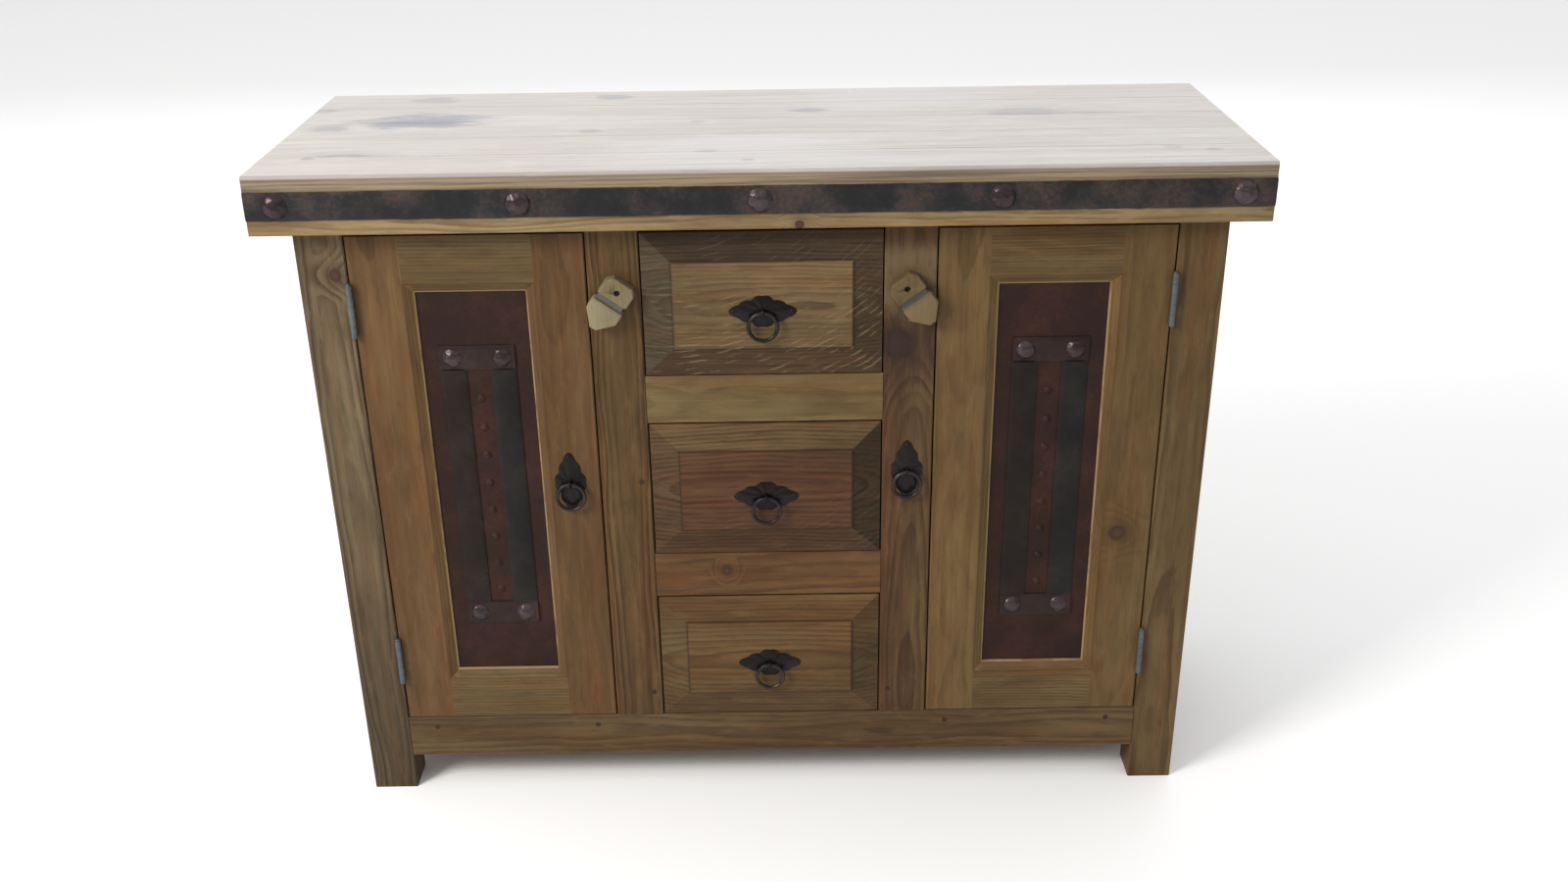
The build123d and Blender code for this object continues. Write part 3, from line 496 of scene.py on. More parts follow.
def drawer_tint(field_low, field_high, bevel_stain_and_shade, marks):
    """A tone for each bevel round the raised field, partly its stain and partly painted light and shade, and
    saw marks across them all.
    """
    half = (field_high - field_low) / 2
    left, right, top, bottom = bevel_stain_and_shade

    def tint(g, colour, place, figure):
        along, across, depth = g.split(place)
        out_x, out_z = past_rim(g, along, across, half)
        furthest = g.math("MAXIMUM", out_x, out_z)
        upright = g.step(g.minus(out_x, out_z), -0.0004, 0.0004)
        # Each bevel's tone is partly its stain and partly painted light and shade.
        lying_stain_and_shade = g.mix(g.step(across, -0.001, 0.001), bottom, top)
        upright_stain_and_shade = g.mix(g.step(along, -0.001, 0.001), left, right)
        border = g.mix(upright, lying_stain_and_shade, upright_stain_and_shade)
        colour = g.mix(g.step(furthest, -0.0010, 0.0010), colour, border, "MULTIPLY")
        # A painted shade line along the field's step.
        line = g.step(g.size(furthest), 0.0026, 0.0008)
        colour = g.mix(g.times(line, 0.5), colour, FIELD_STEP_SHADE_TONE)
        mitre = g.times(g.step(g.size(g.minus(out_x, out_z)), 0.0014, 0.0002), g.step(furthest, 0.0, 0.002))
        colour = g.mix(g.times(mitre, 0.35), colour, MITRE_TONE)
        amount = g.step(across, 0.050, -0.020, 0.25 * marks, marks)
        wanted = {"Vector": place, "Centre": SAW_CENTRE, "Pitch": SAW_PITCH, "Amount": amount}
        return g.mix(placed_group(g, SAW, wanted)["Mark"], colour, SAW_TONE)

    return tint


def door_tint(opening_low, opening_high):
    """A pale line along the moulding's inner edge, partly rubbed stain and partly a painted edge highlight,
    and a dark one along its outer edge.
    """
    half = (opening_high - opening_low) / 2
    centre = (opening_low + opening_high) / 2

    def tint(g, colour, place, figure):
        x, y, z = g.split(g.object_point())
        out_x, out_z = past_rim(g, g.minus(x, centre.x), g.minus(z, centre.z), half)
        furthest = g.math("MAXIMUM", out_x, out_z)
        # A painted highlight along the moulding's inner edge, broken up like rubbed stain.
        rubbed = g.step(g.size(g.minus(furthest, RUBBED_HIGHLIGHT_LINE)), 0.0022, 0.0006)
        patchy = g.step(figure["Mottle"], 0.34, 0.52, 0.15, 0.75)
        colour = g.mix(g.times(rubbed, patchy), colour, RUBBED_AND_HIGHLIGHT_TONE)
        edge = g.step(g.size(g.minus(furthest, MOULDING_LINE)), 0.0016, 0.0004)
        return g.mix(g.times(edge, 0.30), colour, MOULDING_TONE)

    return tint


def foot_painted_shade(g, colour, place, figure):
    """Painted shade: the left post is painted darker towards its foot."""
    height = g.split(g.object_point())[2]
    return g.mix(g.step(height, 0.50, 0.10, 0.0, 0.50), colour, FOOT_SHADE, "MULTIPLY")


def stile_tint(g, colour, place, figure):
    """Blond wood behind the latch, and a dusky bruise round the big knot below it."""
    height = g.split(g.object_point())[2]
    blond = g.times(g.step(height, 0.780, 0.825), g.step(height, 0.908, 0.880))
    blond = g.times(blond, g.step(figure["Mottle"], 0.64, 0.46, 0.25, 0.80))
    colour = g.mix(blond, colour, BLOND_TONE)
    dusk = g.times(g.step(height, 0.665, 0.725), g.step(height, 0.802, 0.768))
    dusk = g.times(dusk, g.step(figure["Fibre"], 0.42, 0.56, 0.15, 0.60))
    return g.mix(dusk, colour, DUSK_TONE)


def latch_tint(side):
    """A grey saw cut across the neck, and a paler point."""
    sign = -1 if side == "left" else 1

    def tint(g, colour, place, figure):
        x, y, z = g.split(g.object_point())
        sideways = g.times(g.minus(x, sign * LATCH_PIVOT[0]), sign * math.sin(LATCH_TILT))
        downward = g.times(g.minus(LATCH_PIVOT[1], z), math.cos(LATCH_TILT))
        along = g.plus(sideways, downward)
        colour = g.mix(g.step(along, 0.020, 0.030, 0.0, 0.45), colour, CARVED_POINT[side])
        cut = g.step(g.size(g.minus(along, LATCH_CUT)), 0.0060, 0.0046, 0.0, 0.80)
        return g.mix(cut, colour, CUT_TONE)

    return tint


def dress(node, material):
    for slot in frame["nodes"][node].material_slots:
        slot.material = material


def plain_boards():
    """Grain, stain and figure of each wooden node but the drawer fronts and the doors."""
    plans = {
        # The left post's foot carries painted shade.
        "post_front_left": (STANDING, GREY_OLIVE, dict(
            seed=1.7, knots=0.30, ring=0.0068, pith=0.035, contrast=1.1, spot=(-0.589, 0.866),
            spot_size=0.009, tint=foot_painted_shade)),
        "post_front_right": (STANDING, OLIVE, dict(seed=4.2, knots=0.1, pith=0.09)),
        "stile_left": (STANDING, BROWN, dict(seed=6.1, knots=0.1, ring=0.0060, pith=0.030, contrast=1.15)),
        "stile_right": (STANDING, DEEP, dict(
            seed=8.8, knots=0.15, pith=0.05, contrast=1.1, spot=(0.190, 0.752), spot_size=0.025,
            knot_tone=(0.020, 0.0095, 0.0070), tint=stile_tint)),
        "bottom_rail": (LYING, BASE_BROWN, dict(seed=2.6, knots=0.12, ring=0.0055, pith=0.040)),
        "top_rail": (LYING, BASE_BROWN, dict(seed=3.9, knots=0.1)),
        "upper_drawer_rail": (LYING, SOFT_OLIVE, dict(seed=5.5, knots=0.0, ring=0.0045, pith=0.12)),
        "lower_drawer_rail": (LYING, RUSSET, dict(
            seed=7.4, knots=0.0, pith=0.08, spot=(-0.062, 0.390), spot_size=0.006)),
        "apron_front": (LYING, HONEY, dict(
            seed=20.1, knots=0.0, pith=0.05, spot=(0.052, 0.940), spot_size=0.006)),
        "apron_sides": (SIDEWAYS, HONEY, dict(seed=21.3, knots=0.1)),
        "side_rails": (SIDEWAYS, OLIVE, dict(seed=22.9, knots=0.2)),
        "side_panels": (UPRIGHT_SIDE, OLIVE, dict(seed=24.4, knots=0.2, pitch=0.115, ring=0.007, pith=0.05)),
        "rear_posts": (STANDING, OLIVE, dict(seed=25.8, knots=0.2)),
        "rear_rails": (LYING, RAW, dict(seed=27.3, knots=0.2)),
        "back_boards": (STANDING, RAW, dict(
            seed=28.7, knots=0.35, pitch=BACK_BOARD_W, first=BACK_BOARD_W / 2, ring=0.008, pith=0.04)),
        "floor_board": (TABLE, RAW, dict(seed=30.1, knots=0.3, pitch=0.13, ring=0.009)),
        "partitions": (STANDING, RAW, dict(seed=31.6, knots=0.2)),
        "shelves": (TABLE, RAW, dict(seed=33.2, knots=0.3, pitch=0.12, ring=0.009)),
        "bearers": (SIDEWAYS, RAW, dict(seed=34.7, knots=0.1)),
        "drawer_runners": (SIDEWAYS, RAW, dict(seed=36.2, knots=0.1)),
        "wood_pegs": (LYING, SOOT, dict(seed=37.9, knots=0.0, ring=0.002)),
    }
    for name in DRAWERS:
        plans[name + "_box"] = (SIDEWAYS, RAW, dict(seed=42.3, knots=0.1, ring=0.008))
        plans[name + "_base"] = (LYING, RAW, dict(seed=43.8, knots=0.1, ring=0.009))
    return plans


def drawer_fronts():
    """Grain, stain and figure of each drawer front."""
    # Stain, seed, ring width, saw marks, and how the left, right, top and bottom bevel tones differ from the
    # field: partly stain, partly painted light and shade, with the top drawer's top one darkened as a painted
    # shadow of the top's overhang.
    fronts = {
        "drawer_top": (TAN, 9.3, 0.0050, 0.64, (
            (0.54, 0.60, 0.78), (0.42, 0.40, 0.46), (0.38, 0.36, 0.45), (0.49, 0.42, 0.39))),
        "drawer_middle": (MAROON, 10.9, 0.0060, 0.12, (
            (0.93, 1.13, 1.12), (0.43, 0.53, 0.50), (1.25, 1.65, 1.55), (0.80, 0.95, 0.95))),
        "drawer_bottom": (AMBER, 12.4, 0.0060, 0.10, (
            (0.85, 0.92, 1.00), (0.62, 0.66, 0.70), (0.98, 1.00, 1.08), (0.80, 0.82, 0.88))),
    }
    plans = {}
    border = Vector((FIELD_BORDER, 0, FIELD_BORDER))
    for name, (tones, seed, ring, marks, bevel_stain_and_shade) in fronts.items():
        low, high, _ = span(name + "_front")
        tint = drawer_tint(low + border, high - border, bevel_stain_and_shade, marks)
        plans[name + "_front"] = (LYING, tones, dict(seed=seed, ring=ring, knots=0.05, pith=0.045, tint=tint))
    return plans


def finish_boards(plans):
    for node, (grain, tones, more) in plans.items():
        centre = span(node)[2].copy()
        if abs(centre.y - FACE_Y) < NEAR_FACE:
            centre.y = FACE_Y
        dress(node, pine(node + "_finish", grain, tones, centre, **more))


def finish_doors():
    tongue = Vector((PANEL_TONGUE, 0, PANEL_TONGUE))
    for side, tones, rail_tones, seed in (("left", ORANGE, DULL_OLIVE, 14.0), ("right", GOLDEN, OLIVE, 15.6)):
        prefix = "door_" + side
        low, high, middle = span(prefix + "_stiles")
        panel_low, panel_high, _ = span(prefix + "_panel")
        tint = door_tint(panel_low + tongue, panel_high - tongue)
        centre = Vector((middle.x, FACE_Y, middle.z))
        pitch = (high.x - low.x + panel_high.x - panel_low.x) / 2 - PANEL_TONGUE
        more = dict(seed=seed, knots=0.03, pith=0.10, pitch=pitch, first=pitch / 2, contrast=0.75, tint=tint)
        if side == "right":
            more.update(spot=(0.522, 0.446), spot_size=0.012)
        dress(prefix + "_stiles", pine(prefix + "_stile_finish", STANDING, tones, centre, **more))
        dress(prefix + "_rails", pine(prefix + "_rail_finish", LYING, rail_tones, centre, seed=seed + 3.2,
                                      knots=0.08, pith=0.08, contrast=0.8, tint=tint))


TOP_PLANK_COUNT = 5

# Dark knots and bruises on the top: along, across, half length, half width, how dark.
TOP_MARKS = (
    (-0.505, 0.063, 0.078, 0.040, 0.95),
    (-0.635, 0.027, 0.034, 0.020, 0.55),
    (-0.513, 0.205, 0.032, 0.020, 0.60),
    (-0.237, 0.212, 0.028, 0.016, 0.55),
    (-0.249, -0.015, 0.016, 0.010, 0.50),
    (-0.621, -0.150, 0.008, 0.007, 0.60),
    (0.070, 0.102, 0.026, 0.013, 0.70),
    (-0.074, -0.140, 0.012, 0.008, 0.60),
    (-0.016, -0.191, 0.008, 0.005, 0.55),
    (-0.095, 0.036, 0.011, 0.007, 0.45),
    (0.398, 0.067, 0.055, 0.024, 0.45),
    (0.564, -0.157, 0.010, 0.010, 0.40),
    (0.618, -0.171, 0.010, 0.007, 0.50),
)


def top_bruises_washes_and_edges(g, colour, place, figure):
    """Bruises, rosy and cool washes on the top, and browner wood on its edges, which lack the painted sheen in
    the top's pale stain.
    """
    point = g.object_point()
    x, y, z = g.split(point)
    top = g.minus(TOP_Z, z)
    smoke = g.noise(point, 5.0, 0.65, stretch=(16.0, 48.0, 16.0))["Fac"]
    for along, across, length, width, depth in TOP_MARKS:
        away_x = g.math("DIVIDE", g.minus(x, along), length)
        away_y = g.math("DIVIDE", g.minus(y, across), width)
        far = g.plus(g.length(away_x, away_y), g.math("MULTIPLY_ADD", smoke, 2.6, -1.3))
        colour = g.mix(g.step(far, 1.50, 0.60, 0.0, depth), colour, BRUISE_TONE)
    rosy = g.noise(point, 4.0, 0.6, stretch=(2.6, 8.0, 8.0))["Fac"]
    colour = g.mix(g.step(rosy, 0.46, 0.70, 0.0, 0.55), colour, ROSY_TONE)
    cool = g.noise(point, 3.0, stretch=(1.7, 6.0, 6.0))["Color"]
    colour = g.mix(g.step(g.split(cool)[1], 0.52, 0.68, 0.0, 0.5), colour, COOL_TONE)
    # The edges keep the browner wood; the top face above them carries painted sheen in its pale stain.
    lines = g.noise(point, 4.0, 0.6, stretch=(5.0, 40.0, 330.0))["Fac"]
    edge_tone = g.mix(g.step(lines, 0.40, 0.66), EDGE_LIGHT, EDGE_DARK)
    edge_tone = g.mix(g.step(top, 0.0085, 0.0045, 0.0, 0.6), edge_tone, EDGE_STAIN)
    return g.mix(g.step(top, 0.0035, 0.0060), colour, edge_tone)


def finish_top():
    low, high, middle = span("top_planks")
    place = (middle.x, middle.y, high.z)
    # The top's pale stain is partly painted sheen.
    dress("top_planks", pine("top_planks_finish", TABLE, PALE_STAIN_AND_SHEEN, place, seed=50.3, knots=0.10, ring=0.009,
                             pitch=(high.y - low.y) / TOP_PLANK_COUNT, pith=0.05, rough=0.42, tint=top_bruises_washes_and_edges,
                             coat=0.35, relief=0.25, stain=0.3, shine=0.5, knot_tone=(0.150, 0.125, 0.125),
                             contrast=0.5, own_spread=0.12, blush=0.15))


# Each iron is its dark scale, its rubbed sheen and its rust.
BLACK_IRON = iron("band_iron", (0.018, 0.018, 0.019), (0.034, 0.033, 0.033), (0.066, 0.034, 0.024),
                  rust=0.36, relief=0.8)
CLAVO_IRON = iron("clavo_iron", (0.036, 0.024, 0.026), (0.068, 0.050, 0.053), (0.070, 0.034, 0.028),
                  rust=0.2, rough=0.30, metallic=0.75, relief=0.4)
MAROON_IRON = iron("panel_iron", (0.0211, 0.0097, 0.0079), (0.0317, 0.0132, 0.0097), (0.0484, 0.0185, 0.0123),
                   rust=0.35, rough=0.6, metallic=0.15, shine=0.15)
CHANNEL_IRON = iron("channel_iron", (0.0185, 0.0080, 0.0062), (0.028, 0.0110, 0.0080), (0.052, 0.020, 0.013),
                    rust=0.4, rough=0.55, metallic=0.2, shine=0.2)
STRAP_IRON = iron("strap_iron", (0.0135, 0.0090, 0.0074), (0.023, 0.0154, 0.0130), (0.046, 0.022, 0.016),
                  rust=0.25, rough=0.48)
CROSS_IRON = iron("cross_strap_iron", (0.022, 0.012, 0.011), (0.034, 0.020, 0.019), (0.050, 0.024, 0.018),
                  rust=0.25, rough=0.5)
GREEN_IRON = iron("green_strap_iron", (0.0112, 0.0099, 0.0088), (0.0195, 0.0172, 0.0152),
                  (0.040, 0.023, 0.016), rust=0.18, rough=0.48)
PLATE_IRON = iron("plate_iron", (0.0080, 0.0062, 0.0066), (0.0165, 0.0125, 0.0135), (0.036, 0.020, 0.018),
                  rust=0.15, rough=0.34)
RING_IRON = iron("ring_iron", (0.022, 0.018, 0.018), (0.050, 0.040, 0.037), (0.062, 0.036, 0.026),
                 rust=0.2, rough=0.30, metallic=0.8)
ZINC = iron("zinc_steel", (0.075, 0.088, 0.094), (0.115, 0.130, 0.136), (0.080, 0.068, 0.056),
            rust=0.2, rough=0.42, relief=0.15)


def finish_iron():
    for side in SIDES:
        dress("door_" + side + "_panel", MAROON_IRON)
        dress("door_" + side + "_hinge_leaves", ZINC)
    dress("frame_hinge_leaves", ZINC)
    dress("hinge_pins", ZINC)
    dress("latch_screws", BLACK_IRON)


# ---------------------------------------------------------------------------
# Forged and carved pieces
# ---------------------------------------------------------------------------


# Edges sharper than this, in degrees, stay sharp in the shading.
FORGED_SHARP = 60.0
PLATE_SHARP = 50.0
CARVED_SHARP = 30.0


def finished(name, bm, node, materials, sharp=FORGED_SHARP):
    """Makes a bmesh the piece that stands for a CAD node, on the node's body."""
    bmesh.ops.remove_doubles(bm, verts=bm.verts, dist=1e-6)
    bmesh.ops.recalc_face_normals(bm, faces=bm.faces)
    mesh = bpy.data.meshes.new(name)
    bm.to_mesh(mesh)
    bm.free()
    mesh.shade_smooth()
    mesh.set_sharp_from_angle(angle=math.radians(sharp))
    for material in materials:
        mesh.materials.append(material)
    piece = bpy.data.objects.new(name, mesh)
    bpy.context.collection.objects.link(piece)
    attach(piece, body_of(frame["nodes"][node])[0])
    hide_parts(node)
    return piece


def joined(bm, part, material_index=0):
    """Adds one closed part to a piece's bmesh."""
    for face in part.faces:
        face.material_index = material_index
    mesh = bpy.data.meshes.new("part")
    part.to_mesh(mesh)
    part.free()
    bm.from_mesh(mesh)
    bpy.data.meshes.remove(mesh)


def hammered(point, facet, seed):
    """Height of a hammered skin at a point: dents about one facet wide, from -1 to 1."""
    there = point / facet + Vector((seed, seed * 0.7, seed * 1.3))
    near = noise.voronoi(there)[0][0]
    return (near - 0.45) * 1.5 + 0.3 * noise.noise(there * 2.3)


def cut_away(part, normal):
    """Removes what lies past a plane through zero, on the side that its normal points to."""
    whole = part.verts[:] + part.edges[:] + part.faces[:]
    bmesh.ops.bisect_plane(part, geom=whole, dist=1e-7, plane_co=(0, 0, 0), plane_no=normal, clear_outer=True)


def close_holes(part):
    bmesh.ops.holes_fill(part, edges=[edge for edge in part.edges if edge.is_boundary], sides=0)


def add_dome(bm, centre, radius, height, seed, dent=0.0005, facet=0.006, detail=5, material_index=0):
    """A forged nail head: its flat side lies at centre and its crown faces the front."""
    ball = (radius ** 2 + height ** 2) / (2 * height)
    middle = Vector((0, ball - height, 0))
    part = bmesh.new()
    bmesh.ops.create_icosphere(part, subdivisions=detail, radius=ball, matrix=Matrix.Translation(middle))
    cut_away(part, (0, 1, 0))
    for vert in part.verts:
        outward = (vert.co - middle).normalized()
        rise = min(1.0, -vert.co.y / (0.25 * height))
        vert.co += outward * dent * rise * hammered(vert.co, facet, seed)
    close_holes(part)
    bmesh.ops.translate(part, verts=part.verts, vec=centre)
    joined(bm, part, material_index)


def add_bar(bm, low, high, cuts, seed, crown_axis=2, crown=0.0, dent=0.0003, facet=0.014, ragged=0.0,
            material_index=0):
    """A forged flat bar: hammered and crowned on the front, thinned at its rims, its rims a little ragged."""
    size = high - low
    middle = (low + high) / 2
    part = bmesh.new()
    bmesh.ops.create_cube(part, size=1.0, matrix=Matrix.Translation(middle) @ Matrix.Diagonal((*size, 1)))
    for axis in (0, 2):
        lines = [e for e in part.edges if abs((e.verts[1].co - e.verts[0].co)[axis]) > 0.5 * size[axis]]
        bmesh.ops.subdivide_edges(part, edges=lines, cuts=cuts[axis // 2], use_grid_fill=True)
    for vert in part.verts:
        offset = vert.co - middle
        across = abs(offset[crown_axis]) / (size[crown_axis] / 2)
        if ragged and across > 0.99:
            push = ragged * noise.noise(vert.co * 55.0 + Vector((seed, 0, 0)))
            vert.co[crown_axis] += math.copysign(push, offset[crown_axis])
        if offset.y < 0:
            flat = Vector((vert.co.x, 0, vert.co.z))
            vert.co.y += dent * hammered(flat, facet, seed) - crown * (1 - across ** 2)
            if across > 0.99:
                vert.co.y += 0.35 * size.y
    joined(bm, part, material_index)


CLAVO_COUNT = 5
STRAP_W = 0.037
STRAP_INSET = 0.0004
STRAP_DENT = 0.0005
STRAP_FACET = 0.016
STRAP_RAGGED = 0.0006
NAIL_R = 0.014
BOSS_R = 0.006
BOSS_H = 0.0035
BOSS_COUNT = 8


def make_band():
    low, high, _ = span("iron_band")
    bm = bmesh.new()
    add_bar(bm, low, high, (300, 9), 3.1, dent=0.0007, facet=0.018, ragged=0.0009)
    finished("hammered_band", bm, "iron_band", [BLACK_IRON])


def make_band_clavos():
    low, high, middle = span("band_clavos")
    front = span("iron_band")[0].y
    radius = (high.z - low.z) / 2
    pitch = (high.x - low.x - 2 * radius) / (CLAVO_COUNT - 1)
    bm = bmesh.new()
    for number in range(CLAVO_COUNT):
        centre = Vector((low.x + radius + number * pitch, front, middle.z))
        add_dome(bm, centre, radius, front - low.y, 5.0 + 2.3 * number, dent=0.0013, facet=0.010)
    finished("forged_band_nails", bm, "band_clavos", [CLAVO_IRON])


def make_door_straps(prefix, seed):
    """Two upright straps with a cross strap over each end."""
    low, high, _ = span(prefix + "_straps")
    inner_low = low.z + STRAP_W
    inner_high = high.z - STRAP_W
    bm = bmesh.new()
    for x, material_index in ((low.x, 0), (high.x - STRAP_W, 1)):
        start = Vector((x, low.y + STRAP_INSET, inner_low))
        end = Vector((x + STRAP_W, high.y, inner_high))
        add_bar(bm, start, end, (11, 120), seed + x * 30, crown_axis=0, crown=0.0018, dent=STRAP_DENT,
                facet=STRAP_FACET, ragged=STRAP_RAGGED, material_index=material_index)
    for z in (low.z, inner_high):
        start = Vector((low.x, low.y, z))
        end = Vector((high.x, high.y, z + STRAP_W))
        add_bar(bm, start, end, (34, 11), seed + z * 10, crown=0.0007, dent=STRAP_DENT,
                facet=STRAP_FACET, ragged=STRAP_RAGGED, material_index=2)
    finished(prefix + "_forged_straps", bm, prefix + "_straps", [STRAP_IRON, GREEN_IRON, CROSS_IRON])


def make_door_nails(prefix, seed):
    """A nail at each corner of the straps, and a column of bosses on the panel between them."""
    low, high, middle = span(prefix + "_straps")
    height = low.y - span(prefix + "_nails")[0].y
    half = STRAP_W / 2
    corners = [(x, z) for x in (low.x + half, high.x - half) for z in (low.z + half, high.z - half)]
    bm = bmesh.new()
    for number, (x, z) in enumerate(corners, 1):
        add_dome(bm, Vector((x, low.y, z)), NAIL_R, height, seed + number * 1.9, 0.0011, 0.009)
    start = low.z + STRAP_W
    pitch = (high.z - STRAP_W - start) / (BOSS_COUNT + 0.5)
    for number in range(BOSS_COUNT):
        centre = Vector((middle.x, high.y, start + pitch * (number + 0.5)))
        add_dome(bm, centre, BOSS_R, BOSS_H, seed + number, 0.0003, 0.004, detail=4, material_index=1)
    finished(prefix + "_forged_nails", bm, prefix + "_nails", [CLAVO_IRON, CHANNEL_IRON])


# Corners of a quarter of the pull plate's scalloped outline, from its tip to its crown.
PLATE_CORNERS = ((0.0480, 0.0), (0.0330, 0.0098), (0.0150, 0.0160), (0.0, 0.0222))
# How far each lobe swells, as a share of the distance between its corners.
PLATE_LOBE = 0.20
PLATE_RIM = 0.0009
PLATE_DOME = 0.0042
PLATE_FLUTES = 10
PLATE_FLUTE = 0.22
PLATE_DENT = 0.00018
PLATE_NAIL_REACH = 0.041
PLATE_NAIL_R = 0.0032
PLATE_NAIL_H = 0.0024
EYE_R = 0.0049
EYE_WIRE_R = 0.00175


def plate_reach(angle):
    """Distance from the plate's middle to its scalloped rim in one direction."""
    aim = Vector((abs(math.cos(angle)), abs(math.sin(angle))))
    for start, end in zip(PLATE_CORNERS, PLATE_CORNERS[1:]):
        start = Vector(start)
        end = Vector(end)
        if aim.x * end.y - aim.y * end.x >= -1e-9:
            chord = end - start
            reach = (start.x * chord.y - start.y * chord.x) / (aim.x * chord.y - aim.y * chord.x)
            share = min(1.0, max(0.0, (aim * reach - start).length / chord.length))
            return reach + PLATE_LOBE * chord.length * math.sin(math.pi * share)
    return PLATE_CORNERS[-1][1]


def add_ring(bm, centre, radius, wire, axis, unevenness=0.0, seed=0.0, steps=72):
    """A closed ring of round wire about one axis."""
    part = bmesh.new()
    turn = Matrix.Rotation(math.pi / 2, 4, axis)
    circle = bmesh.ops.create_circle(part, segments=20, radius=wire, matrix=turn)["verts"]
    bmesh.ops.translate(part, verts=circle, vec=(0, 0, radius))
    about = (1, 0, 0) if axis == "X" else (0, 1, 0)
    bmesh.ops.spin(part, geom=part.verts[:] + part.edges[:], cent=(0, 0, 0), axis=about, angle=2 * math.pi,
                   steps=steps, use_merge=True)
    bmesh.ops.remove_doubles(part, verts=part.verts, dist=1e-7)
    for vert in part.verts:
        core = Vector(vert.co)
        core[0 if axis == "X" else 1] = 0
        core = core.normalized() * radius
        bulge = 1 + unevenness * noise.noise(vert.co * 140.0 + Vector((seed, seed, 0)))
        vert.co = core + (vert.co - core) * bulge
    bmesh.ops.translate(part, verts=part.verts, vec=centre)
    joined(bm, part)


def add_plate(bm, middle, upright, seed):
    """A domed, scalloped plate with its flat back at middle; upright stands its long axis on end."""
    part = bmesh.new()
    bmesh.ops.create_uvsphere(part, u_segments=120, v_segments=40, radius=1.0)
    cut_away(part, (0, 0, -1))
    close_holes(part)
    for vert in part.verts:
        angle = math.atan2(vert.co.y, vert.co.x)
        spread = math.hypot(vert.co.x, vert.co.y)
        reach = plate_reach(angle) * spread
        along = reach * math.cos(angle)
        across = reach * math.sin(angle)
        lift = 0.0
        if vert.co.z > 1e-5:
            flute = 1 + PLATE_FLUTE * spread * math.cos(PLATE_FLUTES * angle)
            lift = PLATE_RIM + (PLATE_DOME - PLATE_RIM) * (1 - spread ** 2) * flute
            lift += PLATE_DENT * hammered(Vector((along, across, 0)), 0.006, seed)
        vert.co = (across, -lift, along) if upright else (along, -lift, across)
    bmesh.ops.translate(part, verts=part.verts, vec=middle)
    joined(bm, part)


def make_pull(prefix, seed):
    """One ring pull: plate, staple eye and nails, and the ring that swings in the eye."""
    plate_low, plate_high, _ = span(prefix + "_plate")
    ring_low, ring_high, ring_middle = span(prefix + "_ring")
    wire = (ring_high.y - ring_low.y) / 2
    radius = (ring_high.x - ring_low.x) / 2 - wire
    eye = Vector((ring_middle.x, ring_middle.y, ring_middle.z + radius))
    upright = plate_high.z - plate_low.z > plate_high.x - plate_low.x
    face = FACE_Y if upright else FIELD_Y
    bm = bmesh.new()
    add_plate(bm, Vector((eye.x, face, eye.z)), upright, seed)
    add_ring(bm, eye, EYE_R, EYE_WIRE_R, "X", steps=36)
    for sign in (-1, 1):
        shift = sign * PLATE_NAIL_REACH * (Vector((0, 0, 1)) if upright else Vector((1, 0, 0)))
        place = Vector((eye.x, face - PLATE_RIM, eye.z)) + shift
        add_dome(bm, place, PLATE_NAIL_R, PLATE_NAIL_H, seed + sign, 0.0002, 0.003, detail=4)
    finished(prefix + "_domed_plate", bm, prefix + "_plate", [PLATE_IRON], PLATE_SHARP)
    hoop = bmesh.new()
    add_ring(hoop, ring_middle, radius, wire, "Y", 0.10, seed)
    finished(prefix + "_forged_ring", hoop, prefix + "_ring", [RING_IRON])


# How wide a latch's edges are rounded, and the shortest and flattest edges that are.
LATCH_ROUND = 0.0011
LATCH_ROUND_LENGTH = 0.006
LATCH_ROUND_ANGLE = 0.5


def make_latch(side, seed):
    """A turn latch whittled from pale wood: the sawn block with its edges knocked off."""
    node = "latch_" + side
    flat = math.radians(1)
    bm = bmesh.new()
    bm.from_mesh(frame["nodes"][node].data)
    bmesh.ops.remove_doubles(bm, verts=bm.verts, dist=1e-6)
    bmesh.ops.dissolve_limit(bm, angle_limit=flat, verts=bm.verts, edges=bm.edges)
    bmesh.ops.triangulate(bm, faces=bm.faces)
    bmesh.ops.dissolve_limit(bm, angle_limit=flat, verts=bm.verts, edges=bm.edges)
    corners = [edge for edge in bm.edges
               if edge.calc_length() > LATCH_ROUND_LENGTH and edge.calc_face_angle(0) > LATCH_ROUND_ANGLE]
    bmesh.ops.bevel(bm, geom=corners, offset=LATCH_ROUND, offset_type="OFFSET", segments=2, profile=0.5,
                    affect="EDGES", material=-1, clamp_overlap=True)
    material = pine(node + "_finish", STANDING, CARVED[side], span(node)[2], seed=seed, knots=0.0, ring=0.004,
                    pith=0.02, contrast=0.5, stain=0.45, rough=0.7, blush=0.3, tint=latch_tint(side))
    finished("carved_" + node, bm, node, [material], CARVED_SHARP)


# ---------------------------------------------------------------------------
# Floor, light and camera
# ---------------------------------------------------------------------------


FLOOR_HALF = 40.0
FLOOR_GREY = 0.90
WORLD_STRENGTH = 0.42


def make_floor():
    mesh = bpy.data.meshes.new("floor")
    bm = bmesh.new()
    bmesh.ops.create_grid(bm, x_segments=1, y_segments=1, size=FLOOR_HALF)
    bm.to_mesh(mesh)
    bm.free()
    floor = bpy.data.objects.new("floor", mesh)
    bpy.context.collection.objects.link(floor)
    material, g, shader = new_material("floor_paper")
    shader["Base Color"].default_value = (FLOOR_GREY, FLOOR_GREY, FLOOR_GREY, 1)
    shader["Roughness"].default_value = 0.9
    mesh.materials.append(material)


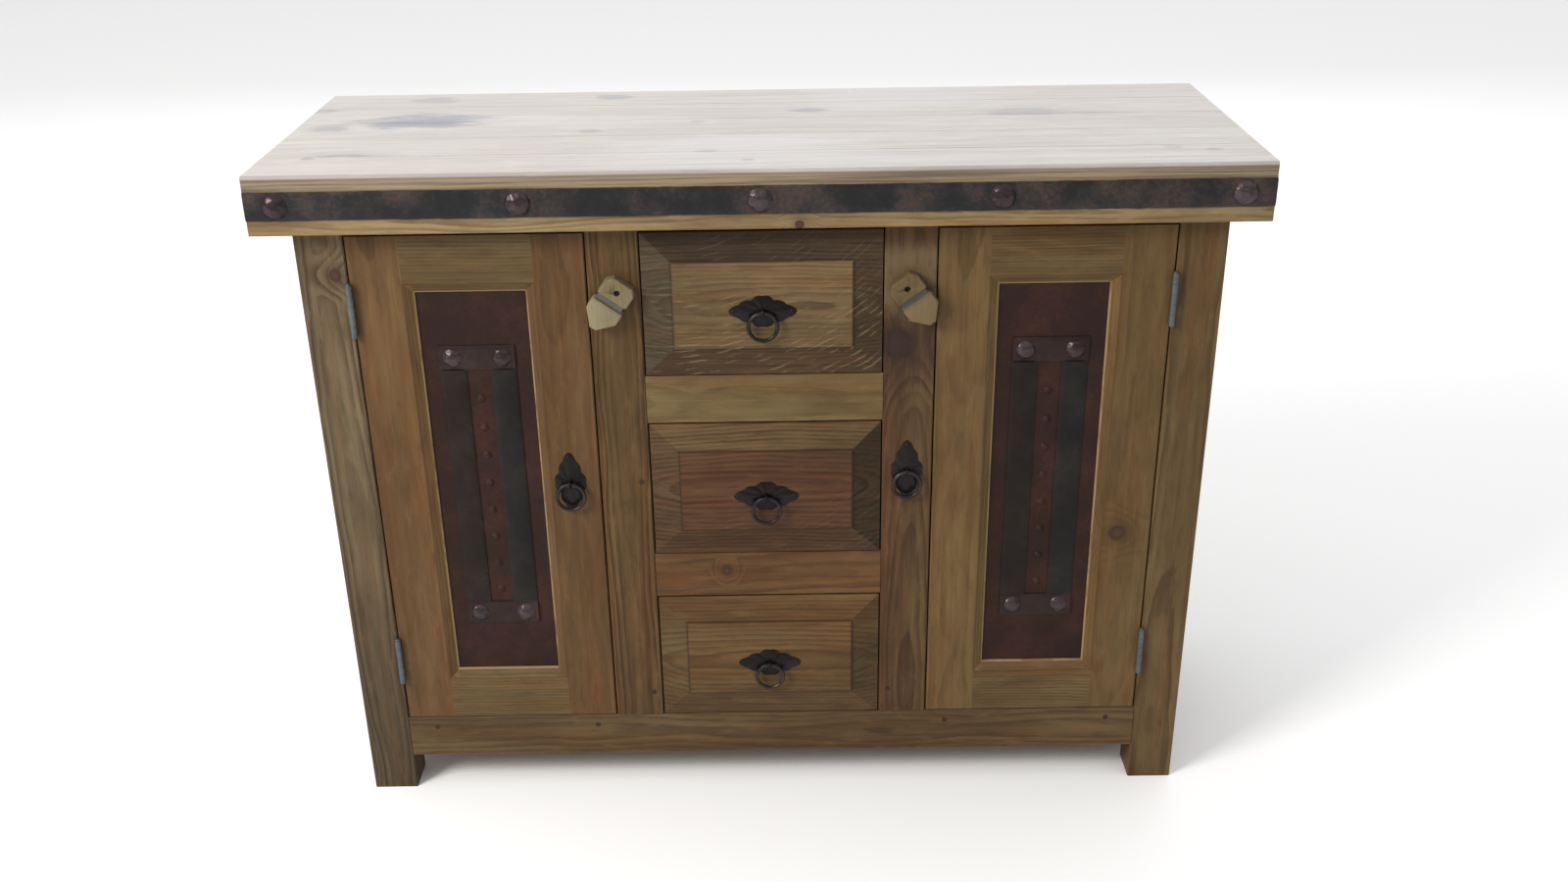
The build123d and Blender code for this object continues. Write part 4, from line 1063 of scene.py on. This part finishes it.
def area_light(name, place, target, size, power, colour=(1, 1, 1)):
    data = bpy.data.lights.new(name, "AREA")
    data.shape = "RECTANGLE"
    data.size, data.size_y = size
    data.energy = power
    data.color = colour
    light = bpy.data.objects.new(name, data)
    light.location = place
    light.rotation_euler = (Vector(target) - Vector(place)).to_track_quat("-Z", "Y").to_euler()
    bpy.context.collection.objects.link(light)


def make_lights():
    world = bpy.data.worlds.new("studio")
    bpy.context.scene.world = world
    world.use_nodes = True
    sky = world.node_tree.nodes["Background"].inputs
    sky["Color"].default_value = (1.0, 1.0, 1.0, 1)
    sky["Strength"].default_value = WORLD_STRENGTH
    area_light("window", (0.0, 4.4, 2.6), (0, 0, 1.0), (7.0, 2.4), 55, (0.97, 0.98, 1.0))
    area_light("ceiling", (0.0, 3.0, 5.5), (0, 3.0, 0), (24.0, 24.0), 1120)
    area_light("key", (-3.0, -2.4, 2.9), (0, -0.2, 0.5), (1.4, 1.4), 165, (1.0, 0.98, 0.95))


# Angles in degrees, lens in millimetres.
CAMERA_PLACE = (0.0290, -2.2371, 1.5443)
CAMERA_PAN = 0.06
CAMERA_TILT = -24.82
CAMERA_ROLL = -0.88
CAMERA_LENS = 35.45


def make_camera():
    data = bpy.data.cameras.new("camera")
    data.sensor_width = 36.0
    data.lens = CAMERA_LENS
    data.clip_start = 0.05
    data.clip_end = 200.0
    camera = bpy.data.objects.new("camera", data)
    turn = Euler((math.radians(90 + CAMERA_TILT), 0, math.radians(CAMERA_PAN))).to_matrix()
    turn = turn @ Matrix.Rotation(math.radians(CAMERA_ROLL), 3, "Z")
    camera.matrix_world = Matrix.Translation(CAMERA_PLACE) @ turn.to_4x4()
    bpy.context.collection.objects.link(camera)
    bpy.context.scene.camera = camera


finish_boards(plain_boards())
finish_boards(drawer_fronts())
finish_doors()
finish_top()
finish_iron()
make_band()
make_band_clavos()
for side, seed in (("left", 11.0), ("right", 23.0)):
    make_door_straps("door_" + side, seed)
    make_door_nails("door_" + side, seed)
for number, prefix in enumerate([name + "_pull" for name in DRAWERS] + ["left_pull", "right_pull"]):
    make_pull(prefix, 31.0 + 3.7 * number)
make_latch("left", 39.4)
make_latch("right", 41.0)
make_floor()
make_lights()
make_camera()
bpy.context.scene.view_settings.view_transform = "Standard"
